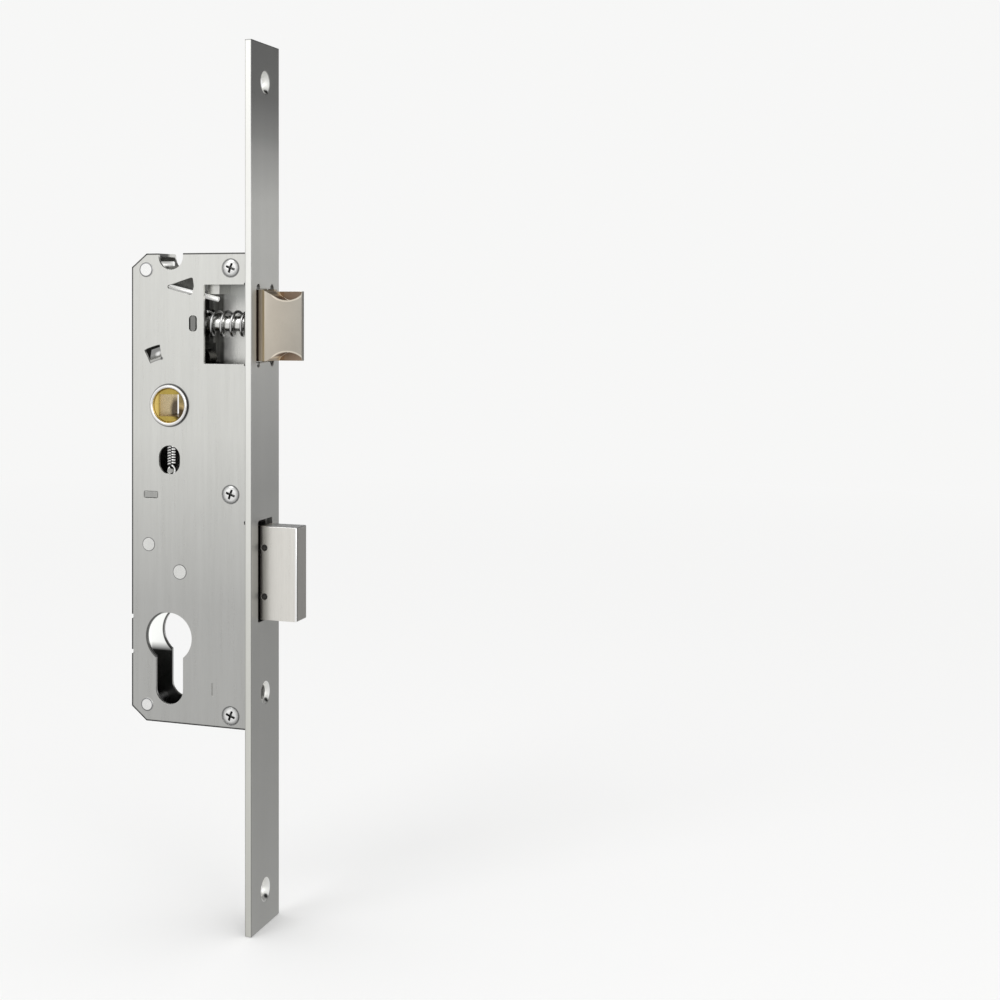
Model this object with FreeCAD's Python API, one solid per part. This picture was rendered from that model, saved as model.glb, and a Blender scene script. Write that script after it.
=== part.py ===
import FreeCAD
import Part
import math
import os

# Mortise lock with a sprung latch, a deadbolt and a profile cylinder hole.
# Millimetres. Origin on the spindle axis, halfway through the case.
# +X points out of the door's edge, +Y away from the cover plate, +Z up.

V = FreeCAD.Vector

# Faceplate
backset = 35.0
plate_thickness = 2.5
plate_width = 26.0
plate_top = 131.6
plate_bottom = -188.4
fixing_top_z = 117.55
fixing_spacing = 292.95
fixing_hole_radius = 2.6
fixing_sink_radius = 4.35
fixing_sink_depth = 1.5
cylinder_screw_drop = 18.9
cylinder_screw_radius = 2.65
cylinder_sink_radius = 4.2
cylinder_sink_depth = 1.2

# Case
case_thickness = 15.0
case_depth = 47.8
case_top = 55.7
case_bottom = -116.3
sheet = 1.2
corner_run_x = 6.0
corner_run_z = 5.0
edge_radius = 0.8
bend_relief_radius = 0.8
flat_gap = 0.15
pin_fit = 0.02
running_fit = 0.06

# Profile cylinder hole
cylinder_centres = 85.0
cylinder_radius = 9.0
cylinder_slot_width = 11.0
cylinder_height = 33.5

# Spindle hub and its collars
hub_hole_radius = 7.5
collar_wall = 1.2
collar_proud = 1.3
collar_flange_radius = 8.7
collar_rim_chamfer = 0.35
collar_flange = 0.6
hub_recess = 0.9
hub_square = 8.1
hub_body_radius = 7.4
hub_disc_radius = 9.0
hub_disc_thickness = 6.4
hub_arm_length = 21.0
hub_arm_half_width = 3.0
hub_side_gap = 0.3
hub_mouth_chamfer = 0.35
hub_lug_radius = 2.0

# Latch
latch_axis_z = 30.0
latch_head_bottom = 16.5
latch_head_top = 42.4
latch_tip_top = 41.7
latch_projection = 12.7
latch_travel = 12.5
latch_head_width = 12.0
latch_rear_behind_plate = 1.6
latch_bevel_start = 2.1
latch_back_thickness = 2.0
latch_scoop_depth = 3.2
latch_scoop_radius = 4.75
latch_scoop_from_tip = 4.2
latch_scoop_slope = 35.0
latch_rear_relief_run = 2.2
latch_rear_relief_z = 35.8
latch_opening_width = 17.0
latch_opening_bottom = 16.1
latch_opening_top = 42.6
latch_opening_relief_y = 6.4
latch_opening_relief_radius = 1.75
latch_bevel_bulge = 0.5

# Latch shaft, tail and guide
shaft_radius = 2.9
shaft_spigot_radius = 2.0
shaft_socket = 6.0
tail_thickness = 2.5
tail_half_width = 4.5
tail_corner_radius = 1.5
tail_top_z = 34.5
tail_foot_z = 19.5
tail_foot_half_width = 1.9
tail_step_z = 24.0
tail_seat_gap = 0.2
tail_lost_motion = 0.4
clip_radius = 3.6
clip_thickness = 0.9
clip_mouth_width = 2.8
spigot_tail = 0.9
guide_front_x = 10.5
guide_thickness = 2.0
guide_bottom = 22.9
guide_top = 39.4
guide_channel_depth = 5.2
guide_lip_thickness = 1.5
guide_lip_y = 1.5
guide_spring_room = 5.4
guide_foot_bottom = 15.6
guide_foot_y = 3.7
guide_tab_bottom = 27.4
guide_tab_height = 5.3
guide_tab_corner = 0.7
guide_slot_width = 3.2
guide_slot_height = 5.85
guide_slot_corner = 1.3
bush_flange_radius = 4.8
bush_flange = 1.0
bush_wall = 0.7

# Springs; places this many wire thicknesses apart count as different turns
self_gap_ratio = 4
latch_wire = 1.1
latch_coil_radius = 4.35
latch_coil_turns = 4.5
hub_wire = 0.5
hub_coil_radius = 1.2
hub_coil_turns = 10
hub_loop_radius = 1.35
hub_loop_opening = 40.0
hub_spring_x = -0.6
hub_spring_y = -4.4
hub_spring_top_z = -9.9
hub_spring_foot_z = -24.2
hub_spring_neck = 2.2
spring_pin_radius = 1.0
spring_pin_end_y = -5.9
anchor_shoulder_radius = 2.0
anchor_shoulder_length = 2.4
anchor_spigot_radius = 1.3
steady_wire = 1.8
steady_coil_radius = 2.3
steady_coil_pitch = 2.45
steady_coil_turns = 2.39
steady_leg_start_run = 6.4
steady_leg_start_z = 43.65
steady_leg_end_x = 17.5
steady_leg_end_z = 38.85
steady_top_leg_run = 6.0
steady_stop_gap = 0.09
steady_start_y = 3.4
detent_wire = 1.0
detent_coil_radius = 3.05
detent_coil_pitch = 1.45
detent_coil_turns = 2
detent_end_y = -0.5
detent_tip_x = 5.0
detent_tip_radius = 1.2
detent_tip_run = 3.0
detent_leg_bend_start = 2.0
detent_leg_bend_end = 3.0

# Posts, pillars, rivets and screws
pillar_x = 24.5
pillar_heights = (50.15, -31.7, -111.7)
pillar_radius = 3.25
pillar_bore_radius = 1.95
pillar_spigot_radius = 2.2
screw_head_radius = 3.25
screw_head_sink = 1.3
screw_head_dome = 0.45
screw_length = 8.0
screw_cross_length = 3.6
screw_cross_width = 0.8
screw_cross_depth = 1.1
screw_cross_angle = 20.0
corner_post_radius = 2.2
upper_post_neck_radius = 1.3
upper_post_step_y = 4.6
upper_post_from_rear = 5.9
upper_post_z = 49.8
upper_rivet_radius = 2.85
lower_post_share = 0.638
lower_post_z = -110.3
lower_rivet_radius = 2.6
rivet_height = 0.35
detent_post_share = 0.596
detent_post_z = -51.3
detent_post_radius = 2.3
guide_post_x = 4.2
guide_post_z = -60.85
guide_post_radius = 2.5
guide_collar_radius = 3.6
post_end_height = 0.1

# Deadbolt
bolt_projection = 14.2
bolt_travel = 13.8
bolt_head_bottom = -76.7
bolt_head_top = -43.0
bolt_head_width = 9.4
bolt_head_rear_x = 22.0
bolt_edge_radius = 0.5
bolt_opening_width = 13.6
bolt_opening_bottom = -77.5
bolt_opening_top = -40.9
bolt_opening_corner = 1.0
bolt_flange_top = -41.7
bolt_flange_bottom = -78.0
bolt_pin_x = 36.5
bolt_pin_heights = (-50.7, -68.3)
bolt_pin_radius = 1.15
bolt_pin_recess = 1.9
tail_plate_thickness = 3.0
tail_tongue_end_x = 39.5
tail_tongue_margin = 3.5
tail_rear_x = 0.3
tail_upper_edge = -55.4
tail_lower_edge = -75.2
tail_slot_end_x = 20.6
tail_slot_gap = 0.15
cam_notch_start_x = 3.0
cam_notch_end_x = 12.5
cam_notch_top = -68.4
detent_notch_depth = 0.9
detent_notch_half_width = 1.7

# Spring rest plate and lanced tabs
rest_bottom = -34.05
rest_thickness = 2.2
rest_front_margin = 1.95
rest_tab_start_run = 3.9
rest_tab_width = 5.4
rest_slot_margin = 0.2
rest_wall_gap = 0.3
leg_stop_start_x = 13.7
leg_stop_end_x = 18.3
leg_stop_height = 5.1
leg_stop_y = -3.5
hub_stop_inner_radius = 17.3
hub_stop_outer_radius = 22.6
hub_stop_start_angle = 100.0
hub_stop_end_angle = 117.0
hub_stop_depth = 4.0
hub_stop_tab_width = 4.9
hub_stop_tab_angle = 108.2

# Windows of the cover plate
latch_window_start_x = 13.8
latch_window_bottom = 15.4
latch_window_top = 44.2
window_corner_radius = 0.6
oval_z = -20.0
oval_width = 8.6
oval_height = 10.6
notch_centre_x = 0.55
notch_radius = 4.95
notch_bottom_z = 49.7
lever_window = ((-2.6, 43.4), (9.4, 47.0), (9.9, 43.6), (8.9, 40.2))
lever_window_radius = 0.7
edge_notch_heights = (-78.2, -91.2)
edge_notch_depth = 1.0
edge_notch_height = 1.6
mark_x = 17.4
mark_bottom = -105.1
mark_top = -100.4
mark_width = 0.9
mark_corner_radius = 0.3
mark_depth = 0.4

# Places that follow from the sizes above
plate_front_x = backset
plate_back_x = plate_front_x - plate_thickness
case_front_x = plate_back_x
case_rear_x = case_front_x - case_depth
near_face = -case_thickness / 2
far_face = case_thickness / 2
near_inner = near_face + sheet
far_inner = far_face - sheet
rear_inner_x = case_rear_x + sheet
upper_post_x = case_rear_x + upper_post_from_rear
lower_post_x = rear_inner_x * lower_post_share
detent_post_x = rear_inner_x * detent_post_share
detent_leg_x = detent_post_x + detent_coil_radius
rest_front_x = detent_leg_x + rest_front_margin
rest_tab_start_x = rear_inner_x + rest_tab_start_run
rest_tab_end_x = rest_tab_start_x + rest_tab_width
steady_leg_start_x = upper_post_x + steady_leg_start_run
steady_top_leg_end_x = upper_post_x + steady_top_leg_run
steady_leg_fall = (steady_leg_start_z - steady_leg_end_z) / (steady_leg_end_x - steady_leg_start_x)
steady_leg_top_z = steady_leg_start_z + steady_wire / 2 * math.hypot(1, steady_leg_fall)
steady_leg_run_to_stop = leg_stop_start_x - steady_leg_start_x
leg_stop_bottom = steady_leg_top_z - steady_leg_fall * steady_leg_run_to_stop + steady_stop_gap
leg_stop_top = leg_stop_bottom + leg_stop_height
front_inner_x = case_front_x - sheet
top_inner = case_top - sheet
fixing_bottom_z = fixing_top_z - fixing_spacing
cylinder_z = -cylinder_centres
cylinder_screw_z = cylinder_z - cylinder_screw_drop
cylinder_slot_z = cylinder_z + cylinder_radius - cylinder_height + cylinder_slot_width / 2
latch_rear_x = plate_back_x - latch_rear_behind_plate
latch_tip_x = plate_front_x + latch_projection
guide_rear_x = guide_front_x - guide_thickness
tail_front_x = guide_rear_x - tail_seat_gap
tail_rear_face_x = tail_front_x - tail_thickness
tail_foot_radius = tail_thickness / 2
tail_foot_x = tail_front_x - tail_foot_radius
bolt_tip_x = plate_front_x + bolt_projection
collar_bore_radius = hub_hole_radius - collar_wall
hub_barrel_radius = collar_bore_radius - running_fit
hub_half_length = case_thickness / 2 + collar_proud - hub_recess
bush_radius = shaft_radius + pin_fit + bush_wall


def arm_angle(foot_x):
    """Direction of the hub's arm, in degrees from +X, when its flank meets the tail's round foot."""
    reach = math.hypot(foot_x, tail_foot_z)
    offset = hub_arm_half_width + tail_foot_radius + tail_lost_motion
    return math.degrees(math.acos(offset / reach) - math.atan2(foot_x, tail_foot_z))


hub_arm_rest = arm_angle(tail_foot_x)
hub_arm_turned = arm_angle(tail_foot_x - latch_travel)
hub_turn_degrees = hub_arm_turned - hub_arm_rest


def block(x0, x1, y0, y1, z0, z1):
    return Part.makeBox(x1 - x0, y1 - y0, z1 - z0, V(x0, y0, z0))


def rod_y(x, z, radius, y0, y1):
    return Part.makeCylinder(radius, y1 - y0, V(x, y0, z), V(0, 1, 0))


def rod_x(y, z, radius, x0, x1):
    return Part.makeCylinder(radius, x1 - x0, V(x0, y, z), V(1, 0, 0))


def cone_y(x, z, radius0, radius1, y0, y1):
    return Part.makeCone(radius0, radius1, y1 - y0, V(x, y0, z), V(0, 1, 0))


def cone_x(y, z, radius0, radius1, x0, x1):
    return Part.makeCone(radius0, radius1, x1 - x0, V(x0, y, z), V(1, 0, 0))


def extruded(edges, y0, y1):
    """Solid from edges that close a loop in the plane Y = 0, reaching from y0 to y1."""
    wire = Part.Wire(Part.__sortEdges__(edges))
    face = Part.Face(wire)
    face.translate(V(0, y0, 0))
    return face.extrude(V(0, y1 - y0, 0))


def rounded_loop(corners, radius):
    """Edges of a closed outline through (x, z) corners, each rounded with one radius."""
    points = [V(x, 0, z) for x, z in corners]
    edges = []
    starts = []
    ends = []
    for index, corner in enumerate(points):
        to_last = (points[index - 1] - corner).normalize()
        to_next = (points[(index + 1) % len(points)] - corner).normalize()
        half = to_last.getAngle(to_next) / 2
        run = radius / math.tan(half)
        bisector = (to_last + to_next).normalize()
        first = corner + to_last * run
        last = corner + to_next * run
        middle = corner + bisector * (radius / math.sin(half) - radius)
        if radius > 0:
            edges.append(Part.Arc(first, middle, last).toShape())
        starts.append(first)
        ends.append(last)
    for index, end in enumerate(ends):
        edges.append(Part.LineSegment(end, starts[(index + 1) % len(starts)]).toShape())
    return edges


def rounded_prism(corners, radius, y0, y1):
    return extruded(rounded_loop(corners, radius), y0, y1)


def rectangle(x0, x1, z0, z1):
    return ((x0, z0), (x1, z0), (x1, z1), (x0, z1))


def stadium(x0, z0, x1, z1, radius, y0, y1):
    """Bar with round ends whose end centres are (x0, z0) and (x1, z1)."""
    along = V(x1 - x0, 0, z1 - z0).normalize()
    side = V(-along.z, 0, along.x) * radius
    start = V(x0, 0, z0)
    end = V(x1, 0, z1)
    edges = [
        Part.LineSegment(start + side, end + side).toShape(),
        Part.Arc(end + side, end + along * radius, end - side).toShape(),
        Part.LineSegment(end - side, start - side).toShape(),
        Part.Arc(start - side, start - along * radius, start + side).toShape(),
    ]
    return extruded(edges, y0, y1)


def case_outline(inset):
    """Corners of the case seen from the side, with its two rear corners cut off."""
    slant = math.hypot(corner_run_x, corner_run_z)
    along_x = inset * (slant - corner_run_z) / corner_run_x
    along_z = inset * (slant - corner_run_x) / corner_run_z
    rear = case_rear_x + inset
    front = case_front_x - inset
    top = case_top - inset
    bottom = case_bottom + inset
    cut_x = case_rear_x + corner_run_x + along_x
    cut_z = corner_run_z + along_z
    return (
        (front, bottom),
        (front, top),
        (cut_x, top),
        (rear, case_top - cut_z),
        (rear, case_bottom + cut_z),
        (cut_x, bottom),
    )


def profile_hole(y0, y1):
    """Round hole with the flat-sided slot of a profile cylinder below it."""
    half = cylinder_slot_width / 2
    circle = rod_y(0, cylinder_z, cylinder_radius, y0, y1)
    slot = block(-half, half, y0, y1, cylinder_slot_z, cylinder_z)
    foot = rod_y(0, cylinder_slot_z, half, y0, y1)
    return circle.fuse([slot, foot]).removeSplitter()


def top_notch(y0, y1):
    """Round-bottomed notch in the case's top edge."""
    centre_z = notch_bottom_z + notch_radius
    foot = rod_y(notch_centre_x, centre_z, notch_radius, y0, y1)
    mouth = block(
        notch_centre_x - notch_radius,
        notch_centre_x + notch_radius,
        y0,
        y1,
        centre_z,
        case_top + sheet,
    )
    return foot.fuse(mouth).removeSplitter()


def arc_window(y0, y1):
    """Window between two arcs about the spindle, where the stop tab is lanced out of the cover."""
    low = math.radians(hub_stop_start_angle)
    high = math.radians(hub_stop_end_angle)
    mid = (low + high) / 2

    def point(radius, angle):
        return V(radius * math.cos(angle), 0, radius * math.sin(angle))

    inner = hub_stop_inner_radius
    outer = hub_stop_outer_radius
    edges = [
        Part.Arc(point(inner, low), point(inner, mid), point(inner, high)).toShape(),
        Part.LineSegment(point(inner, high), point(outer, high)).toShape(),
        Part.Arc(point(outer, high), point(outer, mid), point(outer, low)).toShape(),
        Part.LineSegment(point(outer, low), point(inner, low)).toShape(),
    ]
    return extruded(edges, y0, y1)


def hub_stop_tab():
    """Lanced tab that slopes into the case and ends the hub's turn."""
    half = hub_stop_tab_width / 2
    profile = [
        V(hub_stop_inner_radius - sheet / 2, near_face, -half),
        V(hub_stop_inner_radius + sheet / 2, near_face, -half),
        V(hub_stop_outer_radius - sheet / 2, near_face + hub_stop_depth, -half),
        V(hub_stop_outer_radius - sheet / 2, near_face + hub_stop_depth + sheet, -half),
        V(hub_stop_inner_radius - sheet / 2, near_inner, -half),
    ]
    tab = Part.Face(Part.makePolygon(profile + [profile[0]])).extrude(V(0, 0, hub_stop_tab_width))
    tab.rotate(V(0, 0, 0), V(0, 1, 0), -hub_stop_tab_angle)
    return tab


def shared_holes(y0, y1):
    """Openings that the cover and the tray have in common."""
    return [
        rod_y(lower_post_x, lower_post_z, corner_post_radius + pin_fit, y0, y1),
        rod_y(detent_post_x, detent_post_z, detent_post_radius + pin_fit, y0, y1),
        rod_y(guide_post_x, guide_post_z, guide_post_radius + pin_fit, y0, y1),
        guide_slot(y0, y1),
        rest_slot(y0, y1),
        rod_y(0, 0, hub_hole_radius + pin_fit, y0, y1),
        profile_hole(y0, y1),
        top_notch(y0, y1),
    ]


def guide_slot(y0, y1):
    middle_x = (guide_front_x + guide_rear_x) / 2
    middle_z = guide_tab_bottom + guide_tab_height / 2
    corners = rectangle(
        middle_x - guide_slot_width / 2,
        middle_x + guide_slot_width / 2,
        middle_z - guide_slot_height / 2,
        middle_z + guide_slot_height / 2,
    )
    return rounded_prism(corners, guide_slot_corner, y0, y1)


def rest_slot(y0, y1):
    corners = rectangle(
        rest_tab_start_x - rest_slot_margin,
        rest_tab_end_x + rest_slot_margin,
        rest_bottom - rest_slot_margin,
        rest_bottom + rest_thickness + rest_slot_margin,
    )
    return rounded_prism(corners, window_corner_radius, y0, y1)


def case_cover():
    y0 = near_face
    y1 = near_inner
    cover = rounded_prism(case_outline(0), 0, y0, y1)
    cuts = shared_holes(y0 - sheet, y1 + sheet)
    cuts.append(rod_y(upper_post_x, upper_post_z, upper_post_neck_radius + pin_fit, y0 - sheet, y1 + sheet))
    window = rectangle(latch_window_start_x, case_front_x + sheet, latch_window_bottom, latch_window_top)
    cuts.append(rounded_prism(window, window_corner_radius, y0 - sheet, y1 + sheet))
    relief_x = front_inner_x - bend_relief_radius
    for z in (latch_window_bottom, latch_window_top, bolt_flange_top):
        cuts.append(rod_y(relief_x, z, bend_relief_radius, y0 - sheet, y1 + sheet))
    straight = (oval_height - oval_width) / 2
    cuts.append(stadium(0, oval_z - straight, 0, oval_z + straight, oval_width / 2, y0 - sheet, y1 + sheet))
    cuts.append(rounded_prism(lever_window, lever_window_radius, y0 - sheet, y1 + sheet))
    cuts.append(arc_window(y0 - sheet, y1 + sheet))
    notch_x = case_rear_x + edge_notch_depth
    for z in edge_notch_heights:
        low = z - edge_notch_height / 2
        high = z + edge_notch_height / 2
        cuts.append(block(case_rear_x - sheet, notch_x, y0 - sheet, y1 + sheet, low, high))
    for z in pillar_heights:
        cuts.append(screw_sink(z, pin_fit))
    mark = rectangle(mark_x - mark_width / 2, mark_x + mark_width / 2, mark_bottom, mark_top)
    cuts.append(rounded_prism(mark, mark_corner_radius, y0 - sheet, y0 + mark_depth))
    return cover.cut(cuts).fuse(hub_stop_tab()).removeSplitter()


def case_tray():
    """Back plate with its bent walls, front flanges, spigot holes and lanced leg stop."""
    shell = rounded_prism(case_outline(0), 0, near_inner, far_face)
    back_edges = [e for e in shell.Edges if abs(e.CenterOfMass.y - far_face) < 0.01]
    bent_edges = [e for e in back_edges if e.CenterOfMass.x < front_inner_x]
    shell = shell.makeFillet(edge_radius, bent_edges)
    cuts = [rounded_prism(case_outline(sheet), 0, near_face, far_inner)]
    cuts += shared_holes(near_face, far_face + sheet)
    post_hole = corner_post_radius + pin_fit
    cuts.append(rod_y(upper_post_x, upper_post_z, post_hole, far_inner - sheet, far_face + sheet))
    wall_x0 = front_inner_x - sheet
    wall_x1 = case_front_x + sheet
    for low, high in ((latch_window_bottom, latch_window_top), (bolt_flange_bottom, bolt_flange_top)):
        cuts.append(block(wall_x0, wall_x1, near_face, far_inner, low, high))
    cuts.append(rod_x(0, cylinder_screw_z, cylinder_screw_radius, wall_x0, wall_x1))
    for z in pillar_heights:
        cuts.append(rod_y(pillar_x, z, pillar_spigot_radius + pin_fit, far_inner - sheet, far_face + sheet))
    cuts.append(anchor_spigot(pin_fit))
    leg_stop = block(leg_stop_start_x, leg_stop_end_x, leg_stop_y, far_inner, leg_stop_bottom, leg_stop_top)
    leg_hollow = block(
        leg_stop_start_x,
        leg_stop_end_x - sheet,
        leg_stop_y + sheet,
        far_inner,
        leg_stop_bottom + sheet,
        leg_stop_top,
    )
    return shell.cut(cuts).fuse(leg_stop.cut(leg_hollow)).removeSplitter()


def faceplate():
    half = plate_width / 2
    plate = block(plate_back_x, plate_front_x, -half, half, plate_bottom, plate_top)
    x0 = plate_back_x - plate_thickness
    x1 = plate_front_x + plate_thickness
    cuts = []
    for z in (fixing_top_z, fixing_bottom_z):
        cuts.append(sunk_hole(z, fixing_hole_radius, fixing_sink_radius, fixing_sink_depth))
    cuts.append(sunk_hole(cylinder_screw_z, cylinder_screw_radius, cylinder_sink_radius, cylinder_sink_depth))
    half = latch_opening_width / 2
    cuts.append(block(x0, x1, -half, half, latch_opening_bottom, latch_opening_top))
    for y in (-latch_opening_relief_y, latch_opening_relief_y):
        for z in (latch_opening_bottom, latch_opening_top):
            cuts.append(rod_x(y, z, latch_opening_relief_radius, x0, x1))
    half = bolt_opening_width / 2
    bolt_opening = block(x0, x1, -half, half, bolt_opening_bottom, bolt_opening_top)
    corner_edges = [e for e in bolt_opening.Edges if abs(e.CenterOfMass.x - (x0 + x1) / 2) < 0.01]
    cuts.append(bolt_opening.makeFillet(bolt_opening_corner, corner_edges))
    return plate.cut(cuts)


def sunk_hole(z, hole_radius, sink_radius, sink_depth):
    """Through hole along X with a countersink in the faceplate's front."""
    x0 = plate_back_x - plate_thickness
    through = rod_x(0, z, hole_radius, x0, plate_front_x)
    sink = cone_x(0, z, hole_radius, sink_radius, plate_front_x - sink_depth, plate_front_x)
    return through.fuse(sink)


def hub_collar(side):
    """Collar pressed into the case; side is -1 for the cover and 1 for the tray."""
    outer = case_thickness / 2 + collar_proud
    inner = case_thickness / 2 - sheet
    ring = rod_y(0, 0, hub_hole_radius, inner - collar_flange, outer)
    flange = rod_y(0, 0, collar_flange_radius, inner - collar_flange, inner)
    bore = rod_y(0, 0, collar_bore_radius, 0, outer + sheet)
    collar = ring.fuse(flange).cut(bore)
    rim = [e for e in collar.Edges if abs(e.CenterOfMass.y - outer) < 0.01]
    collar = collar.makeChamfer(collar_rim_chamfer, rim)
    if side < 0:
        collar.rotate(V(0, 0, 0), V(0, 0, 1), 180)
    return collar


def hub():
    """Spindle hub: barrel, body, arm that pulls the latch and pin that holds the centring spring."""
    half_disc = hub_disc_thickness / 2
    body_end = case_thickness / 2 - sheet - collar_flange - hub_side_gap
    barrel = rod_y(0, 0, hub_barrel_radius, -hub_half_length, hub_half_length)
    rims = [e for e in barrel.Edges if abs(abs(e.CenterOfMass.y) - hub_half_length) < 0.01]
    barrel = barrel.makeChamfer(hub_mouth_chamfer, rims)
    body = rod_y(0, 0, hub_body_radius, -body_end, body_end)
    disc = rod_y(0, 0, hub_disc_radius, -half_disc, half_disc)
    angle = math.radians(hub_arm_rest)
    tip_x = hub_arm_length * math.cos(angle)
    tip_z = hub_arm_length * math.sin(angle)
    arm = stadium(0, 0, tip_x, tip_z, hub_arm_half_width, -half_disc, half_disc)
    lug = stadium(0, 0, hub_spring_x, hub_spring_top_z, hub_lug_radius, -half_disc, half_disc)
    pin = rod_y(hub_spring_x, hub_spring_top_z, spring_pin_radius, spring_pin_end_y, 0)
    half = hub_square / 2
    square = block(-half, half, -case_thickness, case_thickness, -half, half)
    return barrel.fuse([body, disc, arm, lug, pin]).cut(square).removeSplitter()


def latch_head():
    """Bevelled latch bolt, scooped above and below in front of its flat back."""
    half = latch_head_width / 2
    back_y = half - latch_back_thickness
    bevel_x = plate_front_x + latch_bevel_start
    outline = [
        V(latch_rear_x, -half, 0),
        V(bevel_x, -half, 0),
        V(latch_tip_x, back_y, 0),
        V(latch_tip_x, half, 0),
        V(latch_rear_x, half, 0),
    ]
    middle_x = (bevel_x + latch_tip_x) / 2
    middle_y = (back_y - half) / 2
    bulge = V(back_y + half, bevel_x - latch_tip_x, 0).normalize() * latch_bevel_bulge
    bevel = Part.Arc(outline[1], V(middle_x, middle_y, 0) + bulge, outline[2])
    edges = [Part.LineSegment(outline[0], outline[1]).toShape(), bevel.toShape()]
    for start, end in ((2, 3), (3, 4), (4, 0)):
        edges.append(Part.LineSegment(outline[start], outline[end]).toShape())
    face = Part.Face(Part.Wire(edges))
    face.translate(V(0, 0, latch_head_bottom))
    head = face.extrude(V(0, 0, latch_head_top - latch_head_bottom))
    cuts = [
        block(bevel_x, latch_tip_x, -half, half, latch_tip_top, latch_head_top),
        latch_scoop(latch_tip_top, 1, back_y),
        latch_scoop(latch_head_bottom, -1, back_y),
        rod_x(0, latch_axis_z, shaft_radius + pin_fit, latch_rear_x - sheet, latch_rear_x + shaft_socket),
        block(
            latch_rear_x - sheet,
            latch_rear_x + latch_rear_relief_run,
            -latch_head_width,
            latch_head_width,
            latch_rear_relief_z,
            latch_head_top + sheet,
        ),
    ]
    return head.cut(cuts)


def latch_scoop(edge_z, side, back_y):
    """Scoop that slopes in from the faceplate and rounds up to the tip; side is 1 above and -1 below."""
    slope = math.radians(latch_scoop_slope)
    radius = latch_scoop_radius
    centre = V(latch_tip_x - latch_scoop_from_tip, 0, edge_z + side * (radius - latch_scoop_depth))
    touch = centre + V(-math.sin(slope), 0, -side * math.cos(slope)) * radius
    along = V(math.cos(slope), 0, -side * math.sin(slope))
    above = edge_z + side * radius
    start = touch - along * (abs(above - touch.z) / math.sin(slope))
    bottom = centre - V(0, 0, side * radius)
    between = centre - V(math.sin(slope / 2), 0, side * math.cos(slope / 2)) * radius
    front = centre + V(radius, 0, 0)
    corner = V(front.x, 0, above)
    edges = [
        Part.LineSegment(start, touch).toShape(),
        Part.Arc(touch, between, bottom).toShape(),
        Part.Arc(bottom, centre + V(1, 0, -side).normalize() * radius, front).toShape(),
        Part.LineSegment(front, corner).toShape(),
        Part.LineSegment(corner, start).toShape(),
    ]
    return extruded(edges, -latch_head_width, back_y)


def latch_shaft():
    shaft = rod_x(0, latch_axis_z, shaft_radius, tail_front_x, latch_rear_x + shaft_socket - flat_gap)
    spigot_end = tail_rear_face_x - clip_thickness - spigot_tail
    spigot = rod_x(0, latch_axis_z, shaft_spigot_radius, spigot_end, tail_front_x)
    return shaft.fuse(spigot)


def latch_tail():
    """Plate behind the guide whose round foot the hub's arm pulls."""
    half = tail_half_width
    plate = block(tail_rear_face_x, tail_front_x, -half, half, tail_step_z, tail_top_z)
    corner_edges = [e for e in plate.Edges if abs(e.CenterOfMass.x - tail_foot_x) < 0.01]
    plate = plate.makeFillet(tail_corner_radius, corner_edges)
    half = tail_foot_half_width
    leg = block(tail_rear_face_x, tail_front_x, -half, half, tail_foot_z, latch_axis_z)
    foot = rod_y(tail_foot_x, tail_foot_z, tail_foot_radius, -half, half)
    hole = rod_x(0, latch_axis_z, shaft_spigot_radius + pin_fit, tail_rear_face_x, tail_front_x)
    return plate.fuse([leg, foot]).cut(hole).removeSplitter()


def tail_clip():
    """Open retaining ring behind the tail plate."""
    x1 = tail_rear_face_x
    x0 = x1 - clip_thickness
    ring = rod_x(0, latch_axis_z, clip_radius, x0, x1)
    bore = rod_x(0, latch_axis_z, shaft_spigot_radius + pin_fit, x0, x1)
    half = clip_mouth_width / 2
    mouth = block(x0, x1, -half, half, latch_axis_z, latch_axis_z + clip_radius)
    return ring.cut([bore, mouth])


def latch_guide():
    """Channel that carries the shaft's bush, staked into both plates by its tabs."""
    channel_front = guide_rear_x + guide_channel_depth
    wall = block(guide_rear_x, guide_front_x, near_inner, far_inner, guide_bottom, guide_top)
    tab_top = guide_tab_bottom + guide_tab_height
    tab_outline = rectangle(guide_rear_x, guide_front_x, guide_tab_bottom, tab_top)
    tab = rounded_prism(tab_outline, guide_tab_corner, near_face, far_face)
    web_y = far_inner - guide_lip_thickness
    lip_x = channel_front - guide_lip_thickness
    web = block(guide_rear_x, channel_front, web_y, far_inner, guide_foot_bottom, guide_top)
    lip = block(lip_x, channel_front, guide_lip_y, far_inner, guide_bottom, guide_top)
    foot = block(lip_x, channel_front, guide_foot_y, far_inner, guide_foot_bottom, guide_bottom)
    room = rod_x(0, latch_axis_z, guide_spring_room, guide_front_x, channel_front + sheet)
    hole = rod_x(0, latch_axis_z, bush_radius + pin_fit, guide_rear_x - sheet, guide_front_x + sheet)
    return wall.fuse([tab, web, lip, foot]).cut([room, hole]).removeSplitter()


def latch_bush():
    tube = rod_x(0, latch_axis_z, bush_radius, guide_rear_x, guide_front_x)
    flange = rod_x(0, latch_axis_z, bush_flange_radius, guide_front_x, guide_front_x + bush_flange)
    bore_radius = shaft_radius + running_fit
    bore = rod_x(0, latch_axis_z, bore_radius, guide_rear_x - sheet, guide_front_x + 2 * bush_flange)
    return tube.fuse(flange).cut(bore).removeSplitter()


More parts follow.
